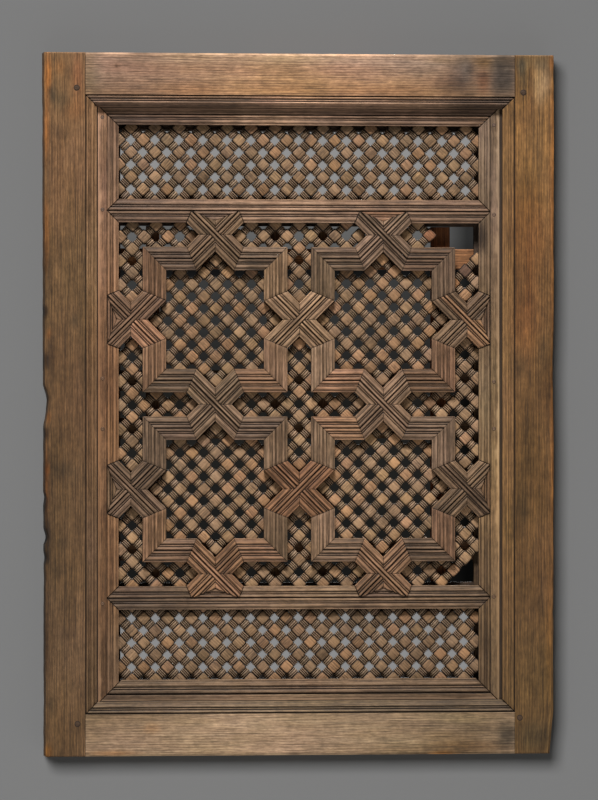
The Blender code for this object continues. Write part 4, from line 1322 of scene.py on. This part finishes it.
# %% [markdown]
# ## The battens
# Eight rough laths behind the middle lattice stiffen it. Nobody was meant to see them, so their
# edges were left as split and sawn.

# %% Battens
BATTEN_SPLIT = -0.0043
LATH_GAP = 0.0003
FAR = OPENING - 0.0043 - LATH_GAP
lines = (STAR_POINT - 2 * STAR_CENTRE, -STAR_POINT, STAR_POINT, 2 * STAR_CENTRE - STAR_POINT)


def lath_profile(name, half, front, back):
    """A lath's section: half its width, and where its front and its back lie."""
    turned = (
        (-half, back), (-half, front + MM), (-half + MM, front), (-half / 3, front),
        (half / 3, front), (half - MM, front), (half, front + MM), (half, back),
    )
    return profile(name, [(d, y, 0.15, 1.0, 1.0) for d, y in turned])


wide_lath = lath_profile("wide_lath", 0.0139, BATTEN_SPLIT + LATH_GAP, -0.0001)
upright_lath = lath_profile("upright_lath", 0.0097, BATTEN_SPLIT + LATH_GAP, -0.0001)
level_lath = lath_profile("level_lath", 0.0147, LIP_FRONT + 0.0002, BATTEN_SPLIT - LATH_GAP)
# Lath 4 is brightened where it shows through the break: partly its own orange wood, partly painted bounce
# light on a lath that lies in shade.
LATH_HUES_AND_PAINTED_LIGHT = {("level", 4): (2.0, 1.55, 1.15), ("upright", 4): (2.0, 1.3, 0.9)}
SLIPPED = {4: -0.0013}
for number, line in enumerate(lines, 1):
    slipped = line + SLIPPED.get(number, 0.0)
    for kind, shape, start, end in (
        ("upright", wide_lath if number == 4 else upright_lath, (slipped, -FAR), (slipped, FAR)),
        ("level", level_lath, (-FAR, line), (FAR, line)),
    ):
        piece = Piece()
        hue = LATH_HUES_AND_PAINTED_LIGHT.get((kind, number)) or own_hue()
        piece.add(planed(shape, start, end, wander=0.0002, wander_length=0.05, pitch=0.01), hue)
        piece.finish(f"{kind}_lath_{number}", woods["batten"], "batten_wood", f"{kind}_batten_{number}")
print("laths: 8")

# %% [markdown]
# ## The lattices
# A lattice is a net of square blocks, set on their corners, with a short turned link between every
# two neighbours. The turner made hundreds of them, so three small shapes are enough, and a Geometry
# Nodes tree puts one on every point of a layout. The layout holds what differs from one to the
# next: its kind, its turn, its hue and the piece of the log that its grain comes from.

# %% The block and the two links
BLOCK_HALF = 0.0083
LATTICE_Y = (-0.0203, -0.0089)
LINK_OVERLAP = 0.0003
LINK_HALF = HALF_PITCH / math.sqrt(2) - BLOCK_HALF + LINK_OVERLAP


def block_source():
    """A square block with worn arrises, its sides along x and z: rings of inset, clip, y and dirt,
    where the dirt on its sides is partly painted shade.
    """
    half_depth = (LATTICE_Y[1] - LATTICE_Y[0]) / 2
    points, hollow = [], []
    rings = (
        (0.0028, 0.0016, -half_depth, -0.4), (0.0014, 0.0018, 0.0004 - half_depth, 0.2),
        (0.0004, 0.0016, 0.0017 - half_depth, 1.0), (0.0, 0.0008, 0.0, 1.3),
        (0.001, 0.0014, half_depth, 0.4),
    )
    for inset, c, y, dirt in rings:
        a = BLOCK_HALF - inset
        b = a - c
        points += [(x, y, z) for x, z in ((a, -b), (a, b), (b, a), (-b, a))]
        points += [(x, y, z) for x, z in ((-a, b), (-a, -b), (-b, -a), (b, -a))]
        hollow += [dirt] * 8
    return source("block", points, ring_faces(len(rings), 8), hollow)


def link_source(name, turned, sides=8, flat=0.84):
    """A turned link along x: (place along it, radius, dirt) for each ring. The dirt in the grooves is
    partly painted shade, and a minus on a crest lays bare wood with a painted highlight.
    """
    points, hollow = [], []
    for place, radius, dirt in turned:
        for k in range(sides):
            angle = (k + 0.5) * 2 * math.pi / sides
            points.append((place * LINK_HALF, flat * radius * math.cos(angle), radius * math.sin(angle)))
            hollow.append(dirt)
    faces = []
    for ring in range(len(turned) - 1):
        for k in range(sides):
            a, b = ring * sides + k, ring * sides + (k + 1) % sides
            faces.append((a, b, b + sides, a + sides))
    faces += [tuple(range(sides))[::-1], tuple(range(len(points) - sides, len(points)))]
    return source(name, points, faces, hollow)


block = block_source()
ringed = link_source("ringed_link", (
    (-1.0, 0.0048, 1.3), (-0.62, 0.0064, -1.4), (-0.31, 0.0047, 1.2), (0.0, 0.0064, -1.4),
    (0.31, 0.0047, 1.2), (0.62, 0.0064, -1.4), (1.0, 0.0048, 1.3),
))
spool = link_source("spool_link", (
    (-1.0, 0.0048, 1.3), (-0.70, 0.0064, -1.4), (-0.44, 0.0050, 1.2), (-0.18, 0.0060, -0.8),
    (0.18, 0.0060, -0.8), (0.44, 0.0050, 1.2), (0.70, 0.0064, -1.4), (1.0, 0.0048, 1.3),
))


# %% The tree that fills a layout
def lattice_group():
    """A block or a link on every point of a layout, each a little loose and of its own size."""
    tree, given, result = new_group(
        "turned_lattice",
        "GeometryNodeTree",
        [
            ("Layout", "Geometry", None),
            ("Block", "Object", None),
            ("Ringed Link", "Object", None),
            ("Spool Link", "Object", None),
            ("Girth", "Float", 1.0),
            ("Looseness", "Float", 0.05),
            ("Uneven Size", "Float", 0.04),
            ("Seed", "Int", 7),
            ("Wood", "Material", None),
        ],
        [("Lattice", "Geometry")],
    )
    kind, turn = carried(tree, "kind", "INT"), carried(tree, "turn", "FLOAT_VECTOR")
    slack = node(
        tree, "FunctionNodeRandomValue",
        {"Min": (-1, -1, -1), "Max": (1, 1, 1), "Seed": given["Seed"]}, data_type="FLOAT_VECTOR",
    ).outputs[0]
    slack = vector_maths(tree, "SCALE", slack, None, None, given["Looseness"])
    turn = vector_maths(tree, "ADD", turn, slack)
    size = node(
        tree, "FunctionNodeRandomValue",
        {2: maths(tree, "SUBTRACT", 1.0, given["Uneven Size"]), 3: 1.0, "Seed": given["Seed"]},
        data_type="FLOAT",
    ).outputs[1]
    girth = maths(tree, "MULTIPLY", size, given["Girth"])
    round_size = vector_of(tree, size, size, girth)
    joined = node(tree, "GeometryNodeJoinGeometry")
    for number, name in enumerate(("Block", "Ringed Link", "Spool Link")):
        shape = node(tree, "GeometryNodeObjectInfo", {"Object": given[name], "As Instance": True})
        chosen = node(
            tree, "FunctionNodeCompare", {2: kind, 3: number}, data_type="INT", operation="EQUAL"
        ).outputs[0]
        placed = node(
            tree, "GeometryNodeInstanceOnPoints",
            {
                "Points": given["Layout"], "Selection": chosen, "Instance": shape.outputs["Geometry"],
                "Rotation": turn, "Scale": round_size if number else size,
            },
        ).outputs[0]
        tree.links.new(placed, joined.inputs[0])
    tree.links.new(real_wood(tree, joined.outputs[0], given["Wood"]), result["Lattice"])
    return tree


LATTICE = lattice_group()
BEAD_SHARP_ANGLE = math.radians(50)
BLOCK_KIND, RINGED_KIND, SPOOL_KIND = 0, 1, 2
BLOCK_HUE = np.array((1.06, 1.03, 0.98))
LINK_HUE = np.array((0.84, 0.90, 0.99))
BLOCK_SHADES = (
    (1.0, 1.0, 1.0), (1.0, 1.0, 1.0), (1.14, 1.03, 0.93), (0.92, 0.94, 0.97), (1.06, 0.98, 0.94),
    (0.96, 0.96, 0.93), (1.03, 1.0, 0.94),
)


# %% Layouts, with the lost pieces left out
def gone(m, n):
    """Whether the block m across and n up, in half pitches from the middle, is lost."""
    lost = {(13, 14), (15, 14), (12, 13), (14, 13), (13, 12), (12, 15), (14, 15)}
    return (m, n) in lost or m - n >= 29


def layout(rows, broken):
    """Points for the blocks and the links of a lattice: place in half pitches, kind and turn."""
    points = []
    for m in range(-CELLS, CELLS + 1):
        for n in range(-rows, rows + 1):
            if (m + n) % 2 and not (broken and gone(m, n)):
                quarter = math.pi / 2 if chance.random() < 0.3 else 0.0
                points.append((m, n, BLOCK_KIND, math.pi / 4 + quarter))
    for m in range(-CELLS, CELLS):
        for n in range(-rows, rows):
            rising = (m + n) % 2
            ends = [(m, n), (m + 1, n + 1)] if rising else [(m, n + 1), (m + 1, n)]
            if broken and (any(gone(*end) for end in ends) or ends == [(4, 15), (5, 14)]):
                continue
            kind, turn = (RINGED_KIND, -math.pi / 4) if rising else (SPOOL_KIND, math.pi / 4)
            points.append((m + 0.5, n + 0.5, kind, turn))
    return points


SPECIAL = {(11, 14): (1.15, 0.8, 0.7), (14, 11): (0.6, 0.52, 0.56), (13, 10): (1.3, 1.0, 0.75)}


def bleaching(x, z):
    """How much paler the middle lattice is at a place: it has bleached most at the lower right."""
    right, low = np.clip(x / 0.06, -1, 1), np.clip(-z / 0.06, -1, 1)
    return math.exp(0.16 + 0.05 * right + 0.05 * low)


def turned_lattice(name, height, rows, slot_node, girth, lean, tone=1.0, broken=False):
    """A lattice around the given height, as one finished piece. lean says how it has shrunk across
    and up, how far its rows climb to the right, and how far it has slid right and up."""
    points = layout(rows, broken)
    mesh = bpy.data.meshes.new(name + "_layout")
    middle_y = sum(LATTICE_Y) / 2
    across, up, climb, right, risen = lean
    mesh.from_pydata(
        [(right + m * HALF_PITCH * across, middle_y, height + risen + (n * up + m * climb) * HALF_PITCH)
         for m, n, _, _ in points], [], [],
    )
    count = len(points)
    store(mesh, "kind", "INT", [p[2] for p in points])
    store(mesh, "turn", "FLOAT_VECTOR", [(0.0, p[3], 0.0) for p in points])
    store(mesh, "shift", "FLOAT_VECTOR", chance.uniform(0.0, LOG, (count, 3)))
    hues = np.ones((count, 4))
    for index, (m, n, kind, _) in enumerate(points):
        shade = np.array(BLOCK_SHADES[chance.integers(len(BLOCK_SHADES))])
        level = chance.uniform(0.88, 1.12)
        if kind != BLOCK_KIND:
            shade = LINK_HUE * (1 + 0.5 * (shade - 1))
        else:
            shade = shade * BLOCK_HUE
        if broken:
            paler = bleaching(m * HALF_PITCH, n * HALF_PITCH)
            hues[index, :3] = np.array(SPECIAL.get((m, n), shade * level * paler))
        else:
            hues[index, :3] = shade * level * tone
    store(mesh, "hue", "FLOAT_COLOR", hues)
    made = new_object(name, mesh)
    weave = made.modifiers.new("turned_lattice", "NODES")
    weave.node_group = LATTICE
    set_inputs(weave, {
        "Block": block, "Ringed Link": ringed, "Spool Link": spool, "Girth": girth, "Looseness": 0.04,
        "Uneven Size": 0.05, "Seed": 7, "Wood": woods["lattice"],
    })
    graph = bpy.context.evaluated_depsgraph_get()
    solid = bpy.data.meshes.new_from_object(made.evaluated_get(graph))
    made.modifiers.remove(weave)
    made.data = solid
    bpy.data.meshes.remove(mesh)
    grain = sum(pulled(solid.attributes[label].data, "vector", 3) for label in ("grain", "shift"))
    solid.attributes["grain"].data.foreach_set("vector", grain.ravel())
    solid.transform(Matrix.Translation((0.0, 0.0, MIDDLE)))
    solid.shade_smooth()
    solid.set_sharp_from_angle(angle=BEAD_SHARP_ANGLE)
    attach(made, "root")
    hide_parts(slot_node)
    print(name, "blocks and links:", count, "faces:", len(solid.polygons))


turned_lattice(
    "upper_turned_lattice", SMALL_CENTRE, SMALL_ROWS, "upper_lattice", 1.38,
    (0.997, 1.02, 0, 0.0006, -0.0026), tone=0.97,
)
turned_lattice(
    "middle_turned_lattice", 0.0, CELLS, "middle_lattice", 1.13,
    (0.991, 0.992, 0.0083, 0.0009, 0.0006), broken=True,
)
turned_lattice(
    "lower_turned_lattice", -SMALL_CENTRE, SMALL_ROWS, "lower_lattice", 1.44,
    (0.989, 1.01, 0, -0.0003, 0.0045), tone=0.96,
)

# %% [markdown]
# ## Pegs and nails
# A peg of hard wood was driven through each mortise and tenon and cut off by hand, so it is not
# quite round and stands a hair proud.

# %% Pegs
PEG_PLACES = {
    "upper_left": (-0.320, 0.450), "upper_right": (0.322, 0.447),
    "lower_left": (-0.319, -0.454), "lower_right": (0.317, -0.449),
}
PEG_RADIUS, PEG_FRONT, PEG_BACK, PEG_HUE = 0.0045, -0.0384, -0.006, (0.5, 0.5, 0.5)
for number, (corner, (x, z)) in enumerate(PEG_PLACES.items()):
    piece = Piece()
    peg = peg_mesh(PEG_RADIUS, PEG_FRONT, PEG_BACK, number)
    piece.add((peg, Matrix.Translation((x, 0.0, z))), PEG_HUE)
    piece.finish(f"{corner}_oak_peg", woods["peg"], "peg_wood", f"{corner}_peg")
print("pegs:", len(PEG_PLACES))

# %% [markdown]
# The profiles and the small shapes have done their work, so the bench is cleared.

# %% Clearing the bench
for thing in workshop:
    data = thing.data
    bpy.data.objects.remove(thing)
    bpy.data.meshes.remove(data)

# %% [markdown]
# ## The stage
# The screen hangs a little in front of a plain grey wall, above a plain pale floor. One large soft
# lamp stands high above and a little to the left, so every bead that lies level is bright on top and
# dark below, while the upright ones stay even. The wall has a lamp of its own, as in a studio: light
# linking keeps the two apart, so the screen's shadow on the wall stays narrow. Sheets of even light
# stand behind the lattices, pale ones at the two low ones. At the middle one stands a dark glowing
# sheet of painted shade, for the backdrop in the screen's shadow: darker towards the bottom and the
# right, with a narrow band of painted shadow near its top. The wall lets the eye through from
# behind, so that the back can be seen, and a weak lamp on that side lights it. A collection of
# blockers keeps the wall and the sheets out of its way.

# %% Wall and floor
WALL_Y = 0.012
FLOOR_Z = cad_box[0].z - 1.0
SIDE, NEAR, TOP = 3, 4, 2.2


def plane(name, corners, stuff):
    """A flat piece of the stage."""
    mesh = bpy.data.meshes.new(name)
    mesh.from_pydata(corners, [], [(0, 1, 2, 3)])
    mesh.materials.append(stuff)
    made = new_object(name, mesh)
    return made


def from_the_front(tree, shader):
    """Shows a surface from the front only, and lets the eye through from behind."""
    clear = node(tree, "ShaderNodeBsdfTransparent")
    behind = node(tree, "ShaderNodeNewGeometry").outputs["Backfacing"]
    mixed = node(tree, "ShaderNodeMixShader", (behind, shader.outputs[0], clear.outputs[0]))
    tree.links.new(mixed.outputs[0], tree.nodes["Material Output"].inputs["Surface"])


def plain(name, colour, one_sided=False):
    """A plain matt paint. One that is one-sided can be looked through from behind."""
    made = bpy.data.materials.new(name)
    made.use_nodes = True
    tree = made.node_tree
    shader = tree.nodes["Principled BSDF"]
    shader.inputs["Base Color"].default_value = (*colour, 1)
    shader.inputs["Roughness"].default_value = 0.9
    shader.inputs["Specular IOR Level"].default_value = 0.1
    if one_sided:
        from_the_front(tree, shader)
    return made


wall = plane(
    "wall",
    [(-SIDE, WALL_Y, FLOOR_Z), (SIDE, WALL_Y, FLOOR_Z), (SIDE, WALL_Y, TOP), (-SIDE, WALL_Y, TOP)],
    plain("grey_wall", (0.10, 0.10, 0.10), one_sided=True),
)
plane(
    "floor",
    [(-SIDE, -NEAR, FLOOR_Z), (SIDE, -NEAR, FLOOR_Z), (SIDE, SIDE, FLOOR_Z), (-SIDE, SIDE, FLOOR_Z)],
    plain("pale_floor", (0.62, 0.62, 0.61)),
)


# %% Sheets behind the lattices
SHEET_Y, SHEET_REACH = 0.003, 0.275
# Painted shade on the middle sheet: between these two places across, its glow falls from 0.95 to 0.22 of
# its tone.
SHADED_BACKDROP_FADES = (0.200, 0.246, 0.95, 0.22)


def sheet(name, left, right, low, high, stops):
    """A glowing sheet, seen from the front only: stops are heights and their tones. One of two stops is
    a sheet of even light; one of more than two stops is painted shade, and also fades towards the
    right."""
    made = bpy.data.materials.new(name)
    made.use_nodes = True
    tree = made.node_tree
    tree.nodes.remove(tree.nodes["Principled BSDF"])
    at = split(tree, node(tree, "ShaderNodeTexCoord").outputs["Object"])
    share = ranged(tree, at[2], MIDDLE + low, MIDDLE + high)
    ramp = node(tree, "ShaderNodeValToRGB", (share,))
    tones = ramp.color_ramp.elements
    for number, (height, tone) in enumerate(stops):
        place = (height - low) / (high - low)
        element = tones[number] if number < 2 else tones.new(place)
        element.position, element.color = place, (*tone, 1)
    fading = ranged(tree, at[0], *SHADED_BACKDROP_FADES)
    glow = node(tree, "ShaderNodeEmission", (ramp.outputs[0], fading if len(stops) > 2 else 1.0))
    from_the_front(tree, glow)
    low, high, y = MIDDLE + low, MIDDLE + high, SHEET_Y
    return plane(name, [(left, y, low), (right, y, low), (right, y, high), (left, y, high)], made)


PALE_LIGHT = (0.275, 0.272, 0.268)
LOW_LIGHT = (0.25, 0.25, 0.25)
# The middle sheet's tones are painted shade, for the backdrop in the screen's shadow: darker towards the
# bottom, with a narrow band of painted shadow near the top.
SHADED_BACKDROP = (
    (-0.24, (0.01, 0.01, 0.0095)), (0.24, (0.127, 0.127, 0.125)), (-0.08, (0.0165, 0.016, 0.0145)),
    (0.0, (0.0137, 0.013, 0.0115)), (0.069, (0.0212, 0.0205, 0.0195)), (0.172, (0.0437, 0.044, 0.043)),
    (0.18, (0.0437, 0.044, 0.043)), (0.183, (0.009, 0.009, 0.009)), (0.193, (0.006, 0.006, 0.006)),
    (0.197, (0.07, 0.07, 0.069)),
)
sheets = [
    sheet(
        "upper_pale_sheet", -SHEET_REACH, SHEET_REACH, SMALL_CENTRE - 0.07, SMALL_CENTRE + 0.046,
        ((0.2, PALE_LIGHT), (0.4, PALE_LIGHT)),
    ),
    sheet(
        "lower_pale_sheet", -SHEET_REACH, 0.250, -SMALL_CENTRE - 0.0398, -SMALL_CENTRE + 0.07,
        ((-0.4, LOW_LIGHT), (-0.2, LOW_LIGHT)),
    ),
    sheet("slate_sheet", -SHEET_REACH, SHEET_REACH, -0.272, 0.272, SHADED_BACKDROP),
]


# %% Lights
def seen_from(azimuth, elevation, distance):
    """A place around the middle of the screen: degrees to its right, degrees up, metres away."""
    turn, rise = math.radians(azimuth), math.radians(elevation)
    return Vector((
        distance * math.sin(turn) * math.cos(rise),
        -distance * math.cos(turn) * math.cos(rise),
        MIDDLE + distance * math.sin(rise),
    ))


def area(name, place, target, wide, high, power):
    """A soft lamp that looks at a target."""
    lamp = bpy.data.lights.new(name, "AREA")
    lamp.shape = "RECTANGLE"
    lamp.size, lamp.size_y, lamp.energy = wide, high, power
    made = new_object(name, lamp)
    made.location = place
    made.rotation_euler = (Vector(target) - Vector(place)).to_track_quat("-Z", "Y").to_euler()
    made.visible_camera = False
    return made


def linked(name, things, state):
    """A collection that tells a lamp which things it reaches (INCLUDE) or passes by (EXCLUDE)."""
    told = bpy.data.collections.new(name)
    for number, thing in enumerate(things):
        told.objects.link(thing)
        told.collection_objects[number].light_linking.link_state = state
    return told


def light_only(lamp, state):
    """Makes a lamp light the wall alone (INCLUDE) or everything but the wall (EXCLUDE), and returns
    it."""
    lamp.light_linking.receiver_collection = linked(lamp.name + "_receivers", [wall], state)
    return lamp


heart = (0, 0, MIDDLE)
light_only(area("key", seen_from(-14, 60, 6.5), heart, 1.5, 1.0, 685), "EXCLUDE")
light_only(area("wall_lamp", seen_from(-20, 20, 15.0), heart, 5.8, 5.8, 4350), "INCLUDE")
back_lamp = light_only(area("back_lamp", seen_from(160, 25, 5.0), heart, 1.5, 1.5, 160), "EXCLUDE")
back_lamp.light_linking.blocker_collection = linked("back_lamp_blockers", [wall, *sheets], "EXCLUDE")
world = bpy.data.worlds.new("soft_room")
bpy.context.scene.world = world
world.use_nodes = True
world.node_tree.nodes["Background"].inputs["Color"].default_value = (0.090, 0.087, 0.080, 1)
world.node_tree.nodes["Background"].inputs["Strength"].default_value = 1.0

# %% Camera
camera = new_object("camera", bpy.data.cameras.new("camera"))
bpy.context.scene.camera = camera
DISTANCE, TURN, LENS_PER_METRE = 9.0, -7.0, 31.51
camera.data.lens = LENS_PER_METRE * DISTANCE
aim = Vector((-0.0009, -0.030, MIDDLE + 0.0063))
camera.location = seen_from(TURN, 0.0, DISTANCE) + aim - Vector(heart)
camera.rotation_euler = (aim - camera.location).to_track_quat("-Z", "Y").to_euler()
bpy.context.scene.view_settings.view_transform = "Standard"

# %% Sizes, and the end
print("cad box", [tuple(round(c, 4) for c in p) for p in cad_box])
